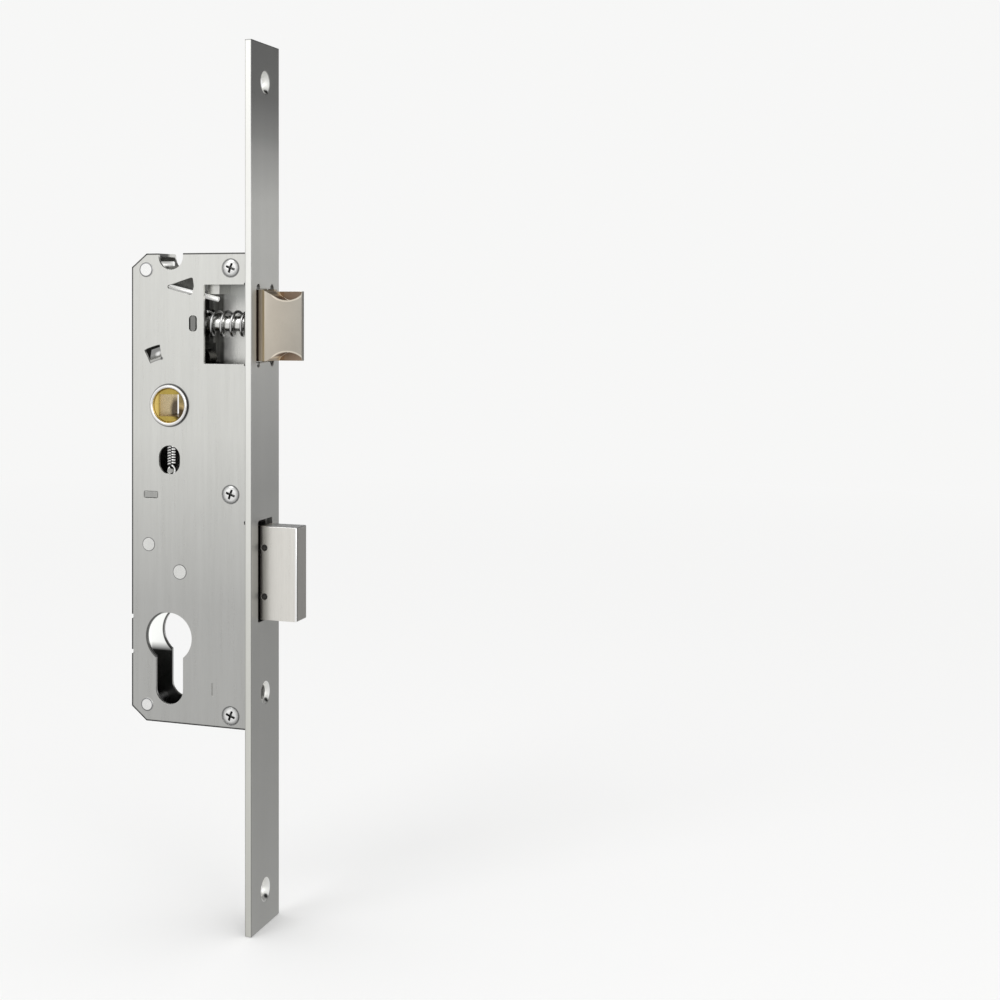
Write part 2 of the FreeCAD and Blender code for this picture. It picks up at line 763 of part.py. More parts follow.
def deadbolt_head():
    half = bolt_head_width / 2
    head = block(bolt_head_rear_x, bolt_tip_x, -half, half, bolt_head_bottom, bolt_head_top)
    tip_edges = [e for e in head.Edges if abs(e.CenterOfMass.x - bolt_tip_x) < 0.01]
    head = head.makeFillet(bolt_edge_radius, tip_edges)
    half_slot = tail_plate_thickness / 2 + pin_fit
    slot = block(
        bolt_head_rear_x - sheet,
        tail_tongue_end_x + flat_gap,
        -half_slot,
        half_slot,
        bolt_head_bottom + tail_tongue_margin - flat_gap,
        bolt_head_top - tail_tongue_margin + flat_gap,
    )
    holes = [rod_y(bolt_pin_x, z, bolt_pin_radius + pin_fit, -half, half) for z in bolt_pin_heights]
    return head.cut([slot] + holes)


def deadbolt_tail():
    """Plate with the cylinder cam's notch, the guide slot and two detent notches."""
    y0 = -tail_plate_thickness / 2
    y1 = tail_plate_thickness / 2
    tongue = rectangle(
        bolt_head_rear_x - 2 * flat_gap,
        tail_tongue_end_x,
        bolt_head_bottom + tail_tongue_margin,
        bolt_head_top - tail_tongue_margin,
    )
    bar = rectangle(tail_rear_x, tail_tongue_end_x, tail_lower_edge, tail_upper_edge)
    plate = rounded_prism(bar, flat_gap, y0, y1)
    tongue_x = tail_tongue_end_x + sheet
    bar_in_head = block(bolt_head_rear_x, tongue_x, y0, y1, tail_lower_edge - sheet, cam_notch_top)
    plate = plate.cut(bar_in_head).fuse(rounded_prism(tongue, flat_gap, y0, y1))
    slot_radius = guide_post_radius + tail_slot_gap
    slot_centre = tail_slot_end_x - slot_radius
    cuts = [
        stadium(tail_rear_x - slot_radius, guide_post_z, slot_centre, guide_post_z, slot_radius, y0, y1),
        rounded_prism(
            rectangle(cam_notch_start_x, cam_notch_end_x, tail_lower_edge - sheet, cam_notch_top),
            window_corner_radius,
            y0,
            y1,
        ),
    ]
    for x in (detent_tip_x, detent_tip_x + bolt_travel):
        notch = (
            (x - detent_notch_half_width, tail_upper_edge),
            (x, tail_upper_edge - detent_notch_depth),
            (x + detent_notch_half_width, tail_upper_edge),
            (x, tail_upper_edge + detent_notch_depth),
        )
        cuts.append(rounded_prism(notch, 0, y0, y1))
    holes = [rod_y(bolt_pin_x, z, bolt_pin_radius + pin_fit, y0, y1) for z in bolt_pin_heights]
    return plate.cut(cuts + holes).removeSplitter()


def bolt_pins():
    end = bolt_head_width / 2 - bolt_pin_recess
    return Part.makeCompound([rod_y(bolt_pin_x, z, bolt_pin_radius, -end, end) for z in bolt_pin_heights])


def spring_rest():
    """Plate across the case that holds the detent spring's long leg."""
    top = rest_bottom + rest_thickness
    plate = block(rear_inner_x + rest_wall_gap, rest_front_x, near_inner, far_inner, rest_bottom, top)
    tab = block(rest_tab_start_x, rest_tab_end_x, near_face, far_face, rest_bottom, top)
    leg_hole = Part.makeCylinder(
        detent_wire / 2 + flat_gap,
        3 * rest_thickness,
        V(detent_leg_x, detent_start_y, rest_bottom - rest_thickness),
    )
    return plate.fuse(tab).cut(leg_hole).removeSplitter()


def rivet_heads(x, z, radius):
    top = radius - rivet_height
    near_head = cone_y(x, z, top, radius, near_face - rivet_height, near_face)
    far_head = cone_y(x, z, radius, top, far_face, far_face + rivet_height)
    return [near_head, far_head]


def upper_corner_post():
    """Riveted post whose thinner near part carries the steady spring's coil."""
    neck = rod_y(upper_post_x, upper_post_z, upper_post_neck_radius, near_face, upper_post_step_y)
    post = rod_y(upper_post_x, upper_post_z, corner_post_radius, upper_post_step_y, far_face)
    heads = rivet_heads(upper_post_x, upper_post_z, upper_rivet_radius)
    return neck.fuse([post] + heads).removeSplitter()


def lower_corner_post():
    post = rod_y(lower_post_x, lower_post_z, corner_post_radius, near_face, far_face)
    heads = rivet_heads(lower_post_x, lower_post_z, lower_rivet_radius)
    return post.fuse(heads).removeSplitter()


def detent_post():
    ends = case_thickness / 2 + post_end_height
    return rod_y(detent_post_x, detent_post_z, detent_post_radius, -ends, ends)


def guide_post():
    ends = case_thickness / 2 + post_end_height
    pin = rod_y(guide_post_x, guide_post_z, guide_post_radius, -ends, ends)
    collar_start = tail_plate_thickness / 2 + hub_side_gap
    collar = rod_y(guide_post_x, guide_post_z, guide_collar_radius, collar_start, far_inner)
    return pin.fuse(collar).removeSplitter()


def anchor_spigot(margin):
    return rod_y(hub_spring_x, hub_spring_foot_z, anchor_spigot_radius + margin, far_inner, far_face)


def spring_anchor():
    """Shouldered pin of the tray that holds the lower loop of the hub's spring."""
    pin = rod_y(hub_spring_x, hub_spring_foot_z, spring_pin_radius, spring_pin_end_y, far_inner)
    shoulder_start = far_inner - anchor_shoulder_length
    shoulder = rod_y(hub_spring_x, hub_spring_foot_z, anchor_shoulder_radius, shoulder_start, far_inner)
    return pin.fuse([shoulder, anchor_spigot(0)]).removeSplitter()


def screw_sink(z, margin):
    """Countersink in the cover for one case screw."""
    deep = near_face + screw_head_sink
    cone = cone_y(pillar_x, z, screw_head_radius + margin, pillar_bore_radius + margin, near_face, deep)
    shank = rod_y(pillar_x, z, pillar_bore_radius + margin, near_face, near_face + screw_length)
    return cone.fuse(shank)


def case_pillars():
    pillars = []
    for z in pillar_heights:
        body = rod_y(pillar_x, z, pillar_radius, near_inner, far_inner)
        spigot = rod_y(pillar_x, z, pillar_spigot_radius, far_inner, far_face)
        pillars.append(body.fuse(spigot).cut(screw_sink(z, pin_fit)).removeSplitter())
    return Part.makeCompound(pillars)


def case_screws():
    """Raised countersunk screws with a cross recess."""
    dome_radius = (screw_head_radius ** 2 + screw_head_dome ** 2) / (2 * screw_head_dome)
    screws = []
    for z in pillar_heights:
        ball = Part.makeSphere(dome_radius, V(pillar_x, near_face - screw_head_dome + dome_radius, z))
        dome = ball.common(rod_y(pillar_x, z, screw_head_radius, near_face - dome_radius, near_face))
        screw = dome.fuse(screw_sink(z, 0).common(block(
            pillar_x - pillar_radius,
            pillar_x + pillar_radius,
            near_face,
            near_face + screw_length - flat_gap,
            z - pillar_radius,
            z + pillar_radius,
        )))
        half = screw_cross_length / 2
        width = screw_cross_width / 2
        deep = near_face + screw_cross_depth
        first = block(pillar_x - half, pillar_x + half, near_face - dome_radius, deep, z - width, z + width)
        second = block(pillar_x - width, pillar_x + width, near_face - dome_radius, deep, z - half, z + half)
        cross = first.fuse(second)
        cross.rotate(V(pillar_x, 0, z), V(0, 1, 0), screw_cross_angle)
        screws.append(screw.cut(cross).removeSplitter())
    return Part.makeCompound(screws)


def biarc(start, start_way, end, end_way):
    """Two arcs that join two points with the given directions at them."""
    chord = end - start
    both = start_way + end_way
    bend = 2 * (1 - start_way.dot(end_way))
    along = chord.dot(both)
    if bend < 1e-9:
        reach = chord.dot(chord) / (2 * along)
    else:
        reach = (math.sqrt(along ** 2 + bend * chord.dot(chord)) - along) / bend
    joint = (start + end + (start_way - end_way) * reach) * 0.5
    first = arc_through(start, start + start_way * reach, joint)
    second = arc_through(joint, end - end_way * reach, end)
    return [first, second]


def arc_through(start, corner, end):
    """Arc that touches the lines start to corner and corner to end."""
    half_chord = (end - start).Length / 2
    middle = (start + end) * 0.5
    rise = (corner - middle).Length
    quarter = math.atan2(rise, half_chord) / 2
    top = middle + (corner - middle).normalize() * (half_chord * math.tan(quarter))
    return Part.Arc(start, top, end).toShape()


def helix_edges(origin, first, second, axis, radius, pitch, turns):
    """Helix as one biarc for each half turn, with its end points and directions."""

    def place(angle):
        across = first * math.cos(angle) + second * math.sin(angle)
        return origin + across * radius + axis * (pitch * angle / (2 * math.pi))

    def way(angle):
        across = second * math.cos(angle) - first * math.sin(angle)
        return (across * radius + axis * (pitch / (2 * math.pi))).normalize()

    halves = max(1, round(turns * 2))
    step = turns * 2 * math.pi / halves
    edges = []
    for index in range(halves):
        low = index * step
        high = low + step
        edges += biarc(place(low), way(low), place(high), way(high))
    last = turns * 2 * math.pi
    return edges, place(0), way(0), place(last), way(last)


def wound_wire(name, edges, start, start_way, wire_diameter):
    """Round wire swept along its path; prints the least gap between places well apart along it."""
    path = Part.Wire(Part.__sortEdges__(edges))
    section = Part.Wire(Part.makeCircle(wire_diameter / 2, start, start_way))
    solid = path.makePipeShell([section], True, False)
    spacing = wire_diameter / 2
    points = path.discretize(Distance=spacing)
    apart = math.ceil(self_gap_ratio * wire_diameter / spacing)
    least = min(
        (points[i] - points[j]).Length
        for i in range(len(points))
        for j in range(i + apart, len(points))
    )
    print(name, "least gap to itself", round(least - wire_diameter, 3), "mm")
    return solid


def latch_spring():
    start_x = guide_front_x + bush_flange + latch_wire / 2 + flat_gap
    end_x = latch_rear_x - latch_wire / 2 - flat_gap
    pitch = (end_x - start_x) / latch_coil_turns
    origin = V(start_x, 0, latch_axis_z)
    edges, start, start_way, end, end_way = helix_edges(
        origin, V(0, 0, 1), V(0, 1, 0), V(1, 0, 0), latch_coil_radius, pitch, latch_coil_turns
    )
    first = start - V(0, 1, 0) * latch_wire
    last = end + V(0, end_way.y, end_way.z).normalize() * latch_wire
    edges.insert(0, Part.LineSegment(first, start).toShape())
    edges.append(Part.LineSegment(end, last).toShape())
    return wound_wire("latch_spring", edges, first, V(0, 1, 0), latch_wire)


def hub_spring():
    """Close-wound tension spring between the hub's pin and the anchor below it."""
    top_pin = V(hub_spring_x, hub_spring_y, hub_spring_top_z)
    foot_pin = V(hub_spring_x, hub_spring_y, hub_spring_foot_z)
    coil_top = top_pin - V(0, 0, hub_spring_neck)
    coil_foot = foot_pin + V(0, 0, hub_spring_neck)
    pitch = (coil_top.z - coil_foot.z) / hub_coil_turns
    edges, start, start_way, end, end_way = helix_edges(
        coil_top, V(0, -1, 0), V(1, 0, 0), V(0, 0, -1), hub_coil_radius, pitch, hub_coil_turns
    )
    down = V(0, 0, -1)
    top_side = top_pin - V(hub_loop_radius, 0, 0)
    foot_side = foot_pin + V(hub_loop_radius, 0, 0)
    edges = biarc(top_side, down, start, start_way) + edges + biarc(end, end_way, foot_side, down)
    slant = math.radians(hub_loop_opening)
    out = V(math.cos(slant), 0, -math.sin(slant)) * hub_loop_radius
    back = V(-math.cos(slant), 0, math.sin(slant)) * hub_loop_radius
    top_end = top_pin + out
    foot_end = foot_pin + back
    edges.insert(0, Part.Arc(top_end, top_pin + V(0, 0, hub_loop_radius), top_side).toShape())
    edges.append(Part.Arc(foot_side, foot_pin - V(0, 0, hub_loop_radius), foot_end).toShape())
    top_way = V(math.sin(slant), 0, math.cos(slant))
    first = top_end - top_way * hub_wire
    last = foot_end + V(math.sin(slant), 0, math.cos(slant)) * hub_wire
    edges.insert(0, Part.LineSegment(first, top_end).toShape())
    edges.append(Part.LineSegment(foot_end, last).toShape())
    return wound_wire("hub_spring", edges, first, top_way, hub_wire)


def steady_spring():
    """Torsion spring on the upper rear post whose long leg presses on the latch guide."""
    post = V(upper_post_x, steady_start_y, upper_post_z)
    edges, start, start_way, end, end_way = helix_edges(
        post,
        V(0, 0, 1),
        V(-1, 0, 0),
        V(0, -1, 0),
        steady_coil_radius,
        steady_coil_pitch,
        steady_coil_turns,
    )
    first = V(steady_top_leg_end_x, start.y, start.z)
    bend = V(upper_post_x + steady_wire, start.y, start.z)
    back = V(-1, 0, 0)
    leg_start = V(steady_leg_start_x, end.y, steady_leg_start_z)
    leg_end = V(steady_leg_end_x, end.y, steady_leg_end_z)
    leg_way = (leg_end - leg_start).normalize()
    upper = [Part.LineSegment(first, bend).toShape()] + biarc(bend, back, start, start_way)
    lower = biarc(end, end_way, leg_start, leg_way) + [Part.LineSegment(leg_start, leg_end).toShape()]
    return wound_wire("steady_spring", upper + edges + lower, first, back, steady_wire)


detent_tip_z = tail_upper_edge + detent_wire / 2 - detent_notch_depth / 3


def detent_path():
    """Leg through the rest plate, coil on the post, and a bent tip in the tail's notch."""
    reach = V(detent_tip_x - detent_post_x, 0, detent_tip_z - detent_post_z)
    lean = math.atan2(reach.z, reach.x) + math.acos(detent_coil_radius / reach.Length)
    turns = detent_coil_turns + 1 - lean / (2 * math.pi)
    start_y = detent_end_y - turns * detent_coil_pitch
    return turns, start_y


detent_turns, detent_start_y = detent_path()


def detent_spring():
    origin = V(detent_post_x, detent_start_y, detent_post_z)
    edges, start, start_way, end, end_way = helix_edges(
        origin, V(1, 0, 0), V(0, 0, -1), V(0, 1, 0), detent_coil_radius, detent_coil_pitch, detent_turns
    )
    down = V(0, 0, -1)
    first = V(start.x, start.y, rest_bottom + rest_thickness)
    neck = start - down * detent_leg_bend_start
    edges = [Part.LineSegment(first, neck).toShape()] + biarc(neck, down, start, start_way) + edges
    flat_way = V(end_way.x, 0, end_way.z).normalize()
    up_way = V(flat_way.x, 0, -flat_way.z)
    bend = flat_way.getAngle(up_way)
    tip_run = detent_tip_radius * math.tan(bend / 2)
    corner = V(detent_tip_x, 0, detent_tip_z)
    leg_end = corner - flat_way * tip_run
    rise = corner + up_way * tip_run
    before = leg_end - flat_way * detent_leg_bend_end
    edges += biarc(end, end_way, before, flat_way)
    edges.append(Part.LineSegment(before, leg_end).toShape())
    edges.append(arc_through(leg_end, corner, rise))
    edges.append(Part.LineSegment(rise, rise + up_way * detent_tip_run).toShape())
    return wound_wire("detent_spring", edges, first, down, detent_wire)


parts = {
    "faceplate": faceplate(),
    "case_tray": case_tray(),
    "case_cover": case_cover(),
    "case_pillars": case_pillars(),
    "case_screws": case_screws(),
    "upper_corner_post": upper_corner_post(),
    "lower_corner_post": lower_corner_post(),
    "hub_collar_near": hub_collar(-1),
    "hub_collar_far": hub_collar(1),
    "hub": hub(),
    "hub_spring": hub_spring(),
    "hub_spring_anchor": spring_anchor(),
    "latch_head": latch_head(),
    "latch_shaft": latch_shaft(),
    "latch_tail": latch_tail(),
    "latch_tail_clip": tail_clip(),
    "latch_guide": latch_guide(),
    "latch_bush": latch_bush(),
    "latch_spring": latch_spring(),
    "steady_spring": steady_spring(),
    "deadbolt_head": deadbolt_head(),
    "deadbolt_tail": deadbolt_tail(),
    "deadbolt_pins": bolt_pins(),
    "deadbolt_guide_post": guide_post(),
    "detent_post": detent_post(),
    "detent_spring": detent_spring(),
    "detent_spring_rest": spring_rest(),
}

os.makedirs("parts", exist_ok=True)
for name, shape in parts.items():
    shape.exportStep("parts/" + name + ".step")
    print(name, "solids", len(shape.Solids), "valid", shape.isValid(), "volume", round(shape.Volume, 1))
print("hub turns", round(hub_turn_degrees, 4), "degrees from", round(hub_arm_rest, 4))
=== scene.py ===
import math

import bmesh
import bpy
from mathutils import Matrix, Vector


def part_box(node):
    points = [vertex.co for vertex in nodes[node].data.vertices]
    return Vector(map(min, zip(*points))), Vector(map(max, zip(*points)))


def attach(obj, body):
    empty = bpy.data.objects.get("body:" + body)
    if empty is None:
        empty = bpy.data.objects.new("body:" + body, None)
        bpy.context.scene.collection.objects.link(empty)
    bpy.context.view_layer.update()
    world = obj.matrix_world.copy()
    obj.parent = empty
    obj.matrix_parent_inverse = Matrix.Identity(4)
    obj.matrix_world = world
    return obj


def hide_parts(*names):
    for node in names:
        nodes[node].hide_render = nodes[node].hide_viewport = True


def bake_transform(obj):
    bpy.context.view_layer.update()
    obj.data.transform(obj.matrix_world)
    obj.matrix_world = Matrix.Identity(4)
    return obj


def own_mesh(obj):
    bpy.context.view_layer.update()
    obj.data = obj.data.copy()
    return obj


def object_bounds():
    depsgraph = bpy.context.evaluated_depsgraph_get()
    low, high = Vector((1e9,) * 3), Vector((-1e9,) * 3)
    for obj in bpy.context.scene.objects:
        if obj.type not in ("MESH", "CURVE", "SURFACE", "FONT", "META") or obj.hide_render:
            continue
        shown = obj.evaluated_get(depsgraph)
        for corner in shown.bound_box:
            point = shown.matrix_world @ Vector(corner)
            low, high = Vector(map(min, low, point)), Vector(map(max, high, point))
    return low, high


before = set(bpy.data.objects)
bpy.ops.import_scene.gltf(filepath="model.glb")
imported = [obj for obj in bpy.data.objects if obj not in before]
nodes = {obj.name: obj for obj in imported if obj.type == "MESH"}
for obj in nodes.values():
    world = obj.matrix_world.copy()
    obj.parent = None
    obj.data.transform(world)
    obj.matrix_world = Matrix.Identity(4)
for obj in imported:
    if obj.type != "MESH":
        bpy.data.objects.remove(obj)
solid_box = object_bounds()
mm = 0.001

X = (1.0, 0.0, 0.0)
Y = (0.0, 1.0, 0.0)
Z = (0.0, 0.0, 1.0)
FLOAT = "NodeSocketFloat"
VECTOR = "NodeSocketVector"


# Shader helpers

def feed(tree, socket, value):
    """Links a socket to another, or gives it a plain value."""
    if isinstance(value, bpy.types.NodeSocket):
        tree.links.new(value, socket)
    else:
        socket.default_value = value


def shader_node(tree, kind, settings=None, **sockets):
    """Adds a node; settings are its own options, sockets are values or links by socket name."""
    made = tree.nodes.new(kind)
    for name, value in (settings or {}).items():
        setattr(made, name, value)
    for name, value in sockets.items():
        feed(tree, made.inputs[name.replace("_", " ")], value)
    return made


def math_node(tree, operation, first, second=0.0, clamp=False):
    made = shader_node(tree, "ShaderNodeMath", {"operation": operation, "use_clamp": clamp})
    feed(tree, made.inputs[0], first)
    feed(tree, made.inputs[1], second)
    return made.outputs[0]


def vector_node(tree, operation, first, second=None):
    """Vector maths; gives back its outputs, Vector and Value."""
    made = shader_node(tree, "ShaderNodeVectorMath", {"operation": operation})
    feed(tree, made.inputs[0], first)
    if second is not None:
        feed(tree, made.inputs[1], second)
    return made.outputs


def mix_node(tree, factor, first, second, blend_type="MIX"):
    """Mixes two colours; in Blender's Mix node their sockets are 6 and 7, and the result is output 2."""
    made = shader_node(tree, "ShaderNodeMix", {"data_type": "RGBA", "blend_type": blend_type})
    feed(tree, made.inputs[0], factor)
    for socket, value in ((made.inputs[6], first), (made.inputs[7], second)):
        plain = not isinstance(value, bpy.types.NodeSocket)
        feed(tree, socket, (*value, 1.0) if plain else value)
    return made.outputs[2]


def noise_node(tree, place, scale, detail, roughness=0.5):
    made = shader_node(tree, "ShaderNodeTexNoise", Vector=place, Scale=scale, Detail=detail, Roughness=roughness)
    return made.outputs["Fac"]


def ramp_node(tree, factor, low, high):
    """Straight ramp from 0 at low to 1 at high."""
    made = shader_node(tree, "ShaderNodeMapRange", {"clamp": True}, Value=factor, From_Min=low, From_Max=high)
    return made.outputs["Result"]


def weighted_sum(tree, first, share, second, clamp=False):
    """The first value with the given share and the second with the rest."""
    first_part = math_node(tree, "MULTIPLY", first, share)
    second_part = math_node(tree, "MULTIPLY", second, 1.0 - share)
    return math_node(tree, "ADD", first_part, second_part, clamp)


def new_group(name, inputs, outputs):
    """Empty shader group; inputs are (name, socket type, value) and outputs are names of numbers."""
    group = bpy.data.node_groups.new(name, "ShaderNodeTree")
    for label, kind, value in inputs:
        socket = group.interface.new_socket(name=label, in_out="INPUT", socket_type=kind)
        if value is not None:
            socket.default_value = value
    for label in outputs:
        group.interface.new_socket(name=label, in_out="OUTPUT", socket_type=FLOAT)
    way_in = group.nodes.new("NodeGroupInput")
    way_out = group.nodes.new("NodeGroupOutput")
    return group, way_in.outputs, way_out.inputs


# How much a place counts across and along the brushing, for grain along Z and for none.
ALONG_Z = (1.0, 1.0, 0.03)
EVEN = (1.0, 1.0, 1.0)


def brushed_grain_group():
    """Long fine scratches along one direction, with slow bands across them."""
    group, given, result = new_group(
        "brushed grain",
        [("Vector", VECTOR, None), ("Along", VECTOR, None), ("Lines per metre", FLOAT, None)],
        ["Streaks", "Bands", "Height"],
    )
    coarse_lines = 0.12
    slow_bands = 0.015
    stretched = vector_node(group, "MULTIPLY", given["Vector"], given["Along"])["Vector"]
    lines = given["Lines per metre"]
    fine = noise_node(group, stretched, lines, 3.0, 0.7)
    coarse = noise_node(group, stretched, math_node(group, "MULTIPLY", lines, coarse_lines), 2.0)
    slow = noise_node(group, stretched, math_node(group, "MULTIPLY", lines, slow_bands), 2.0)
    streaks = weighted_sum(group, fine, 0.6, coarse)
    group.links.new(ramp_node(group, streaks, 0.3, 0.7), result["Streaks"])
    group.links.new(ramp_node(group, slow, 0.3, 0.7), result["Bands"])
    group.links.new(fine, result["Height"])
    return group


def handling_group():
    """Faint smudges and tiny pits from handling."""
    group, given, result = new_group(
        "handling marks",
        [("Vector", VECTOR, None), ("Smudge size", FLOAT, 20.0 * mm), ("Pit size", FLOAT, 0.6 * mm)],
        ["Smudges", "Pits"],
    )
    smudge_scale = math_node(group, "DIVIDE", 1.0, given["Smudge size"])
    pit_scale = math_node(group, "DIVIDE", 1.0, given["Pit size"])
    smudges = noise_node(group, given["Vector"], smudge_scale, 4.0, 0.6)
    pits = noise_node(group, given["Vector"], pit_scale, 2.0)
    group.links.new(ramp_node(group, smudges, 0.35, 0.7), result["Smudges"])
    group.links.new(ramp_node(group, pits, 0.62, 0.72), result["Pits"])
    return group


GRAIN = brushed_grain_group()
HANDLING = handling_group()


# Masks: each is made for its place on the lock, and is 1 there and 0 elsewhere once it is put in a material.

def beyond(way, start, end):
    """0 before start and 1 after end along one direction, in metres; 1 before end when start is the farther."""
    def mask(tree, place):
        return ramp_node(tree, vector_node(tree, "DOT_PRODUCT", place, way)["Value"], start, end)
    return mask


def both_sides(start, end):
    """0 in the middle of the lock's thickness and 1 beyond end on both sides of it."""
    def mask(tree, place):
        across = shader_node(tree, "ShaderNodeSeparateXYZ", Vector=place).outputs["Y"]
        return ramp_node(tree, math_node(tree, "ABSOLUTE", across), start, end)
    return mask


def radius_about(tree, place, centre):
    """Distance from a line along Y through the (x, z) centre."""
    centre_x, centre_z = centre
    from_line = vector_node(tree, "SUBTRACT", place, (centre_x, 0.0, centre_z))["Vector"]
    flat = vector_node(tree, "MULTIPLY", from_line, (1.0, 0.0, 1.0))["Vector"]
    return vector_node(tree, "LENGTH", flat)["Value"]


def round_patch(centre, inner, outer):
    """1 within inner of a line along Y and 0 beyond outer; the other way round when inner is the larger."""
    def mask(tree, place):
        return ramp_node(tree, radius_about(tree, place, centre), outer, inner)
    return mask


def ring(centre, radius, half_width):
    """1 on a circle about a line along Y, fading to 0 on both sides of it."""
    def mask(tree, place):
        off = math_node(tree, "SUBTRACT", radius_about(tree, place, centre), radius)
        return ramp_node(tree, math_node(tree, "ABSOLUTE", off), half_width, half_width / 2)
    return mask


def ball(centre, inner, outer):
    """1 within inner of a point and 0 beyond outer, with an uneven rim."""
    def mask(tree, place):
        away = vector_node(tree, "DISTANCE", place, centre)["Value"]
        uneven = noise_node(tree, place, 1.0 / (outer - inner), 3.0)
        rim = math_node(tree, "MULTIPLY", math_node(tree, "SUBTRACT", uneven, 0.5), outer - inner)
        return ramp_node(tree, math_node(tree, "ADD", away, rim), outer, inner)
    return mask


def overlap(tree, place, masks):
    """Where all the masks lie over each other."""
    shared = masks[0](tree, place)
    for mask in masks[1:]:
        shared = math_node(tree, "MULTIPLY", shared, mask(tree, place))
    return shared


def grey(shade):
    return (shade, shade, shade)


def metal(name, pale, dark, roughness, spread=0.08, along=EVEN, lines=3000.0, bump=2e-6, tints=(), painted_light=()):
    """Metal with brushed grain; pale and dark are the colours of its ridges and lines.

    Each tint is (colour, mask, ...): the metal is multiplied by the colour where all the masks overlap.
    Painted light is given the same way: the surface glows with the colour, standing in for light finding its way into
    the case and for highlights.
    """
    smudge_dulling = 0.03
    pit_dulling = 0.1
    material = bpy.data.materials.new(name)
    material.use_nodes = True
    tree = material.node_tree
    tree.nodes.clear()
    place = shader_node(tree, "ShaderNodeTexCoord").outputs["Object"]
    grain = shader_node(tree, "ShaderNodeGroup", {"node_tree": GRAIN}, Vector=place, Along=along,
                        Lines_per_metre=lines).outputs
    marks = shader_node(tree, "ShaderNodeGroup", {"node_tree": HANDLING}, Vector=place).outputs
    shown = mix_node(tree, weighted_sum(tree, grain["Streaks"], 0.6, grain["Bands"], clamp=True), dark, pale)
    for colour, *masks in tints:
        shown = mix_node(tree, overlap(tree, place, masks), shown, colour, "MULTIPLY")
    rough = math_node(tree, "MULTIPLY", grain["Streaks"], spread)
    rough = math_node(tree, "ADD", rough, roughness - spread / 2)
    rough = math_node(tree, "ADD", rough, math_node(tree, "MULTIPLY", marks["Smudges"], smudge_dulling))
    rough = math_node(tree, "ADD", rough, math_node(tree, "MULTIPLY", marks["Pits"], pit_dulling), clamp=True)
    relief = shader_node(tree, "ShaderNodeBump", Strength=1.0, Distance=bump, Height=grain["Height"])
    glow = grey(0.0)
    for colour, *masks in painted_light:
        glow = mix_node(tree, overlap(tree, place, masks), glow, colour)
    surface = shader_node(
        tree,
        "ShaderNodeBsdfPrincipled",
        Base_Color=shown,
        Metallic=1.0,
        Roughness=rough,
        Normal=relief.outputs["Normal"],
        Emission_Color=glow if painted_light else (*glow, 1.0),
        Emission_Strength=1.0 if painted_light else 0.0,
    )
    out =shader_node(tree, "ShaderNodeOutputMaterial")
    tree.links.new(surface.outputs[0], out.inputs[0])
    return material


# Places on the lock, from the solids' boxes and their main sizes

plate_low, plate_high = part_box("faceplate")
cover_low, cover_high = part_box("case_cover")
latch_low, latch_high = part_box("latch_head")
bolt_low, bolt_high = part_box("deadbolt_head")
screws_low, screws_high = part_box("case_screws")
front_x = plate_high.x
plate_edge_y = plate_high.y
cover_y = cover_low.y
hub_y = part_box("hub")[0].y
collar_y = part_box("hub_collar_near")[0].y

spindle = (0.0, 0.0)
cylinder = (0.0, -85.0 * mm)
collar_radius = 7.5 * mm
middle_screw_z = -31.7 * mm
corner_run_x = 6.0 * mm
corner_run_z = 5.0 * mm

sheet = 1.2 * mm
back_y = -cover_y - sheet
rear_x = cover_low.x + sheet
top_z = cover_high.z - sheet
bottom_z = cover_low.z + sheet


def round_end(node):
    """Centre (x, z) and radius of a post from its box."""
    low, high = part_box(node)
    return ((low.x + high.x) / 2, (low.z + high.z) / 2), (high.x - low.x) / 2


def screw_ends():
    radius = (screws_high.x - screws_low.x) / 2
    middle_x = (screws_low.x + screws_high.x) / 2
    return [((middle_x, z), radius) for z in (screws_high.z - radius, middle_screw_z, screws_low.z + radius)]


rivet_ends = [round_end(name) for name in ("upper_corner_post", "lower_corner_post")]
guide_post_end = ((4.2 * mm, -60.85 * mm), 2.5 * mm)
flush_ends = [round_end("detent_post"), guide_post_end]


# Cover and case edges

outline = 0.6 * mm
seam = 0.22 * mm
rivet_line = 0.4 * mm


def outline_tints(colour, width):
    """Tints along the rear, top and bottom edges and the two cut corners of the case."""
    slant = math.hypot(corner_run_x, corner_run_z)
    up_x = -corner_run_z / slant
    up_z = corner_run_x / slant
    corner_x = cover_low.x + corner_run_x
    edges = [
        (X, cover_low.x, -1.0),
        (Z, cover_high.z, 1.0),
        (Z, cover_low.z, -1.0),
        ((up_x, 0.0, up_z), up_x * corner_x + up_z * cover_high.z, 1.0),
        ((up_x, 0.0, -up_z), up_x * corner_x - up_z * cover_low.z, 1.0),
    ]
    return [(colour, beyond(way, reach - side * width, reach - side * width * 0.6)) for way, reach, side in edges]


def seam_shadow_tints():
    """Painted shadow in the seams on the cover round the screws, posts and collar."""
    seams = [((0.4, 0.4, 0.41), ring(centre, radius + seam / 2, seam)) for centre, radius in flush_ends + screw_ends()]
    return seams + [((0.25, 0.25, 0.26), ring(spindle, collar_radius + seam, 1.6 * seam))]


def rivet_tints():
    """The pressed rivet heads: a painted shadow line inside their rim, and the rim itself as dull as the sheet."""
    tints = []
    for centre, radius in rivet_ends:
        line = radius - rivet_line
        outside_line = round_patch(centre, line + 0.05 * mm, line)
        near = round_patch(centre, radius + 1.0 * mm, radius + 1.1 * mm)
        tints.append(((0.8, 0.8, 0.79), outside_line, near))
        tints.append(((0.3, 0.3, 0.31), ring(centre, line, 0.28 * mm)))
    return tints


# Painted shade: the case steel darker towards the bottom.
painted_fade_down = ((0.72, 0.72, 0.73), beyond(Z, -10.0 * mm, -72.0 * mm))
# Painted shadow along the cylinder hole's lip, on its side away from the faceplate.
cylinder_lip_shadow = (grey(0.25), ring(cylinder, 9.25 * mm, 0.4 * mm), beyond(X, -2.0 * mm, -4.0 * mm))

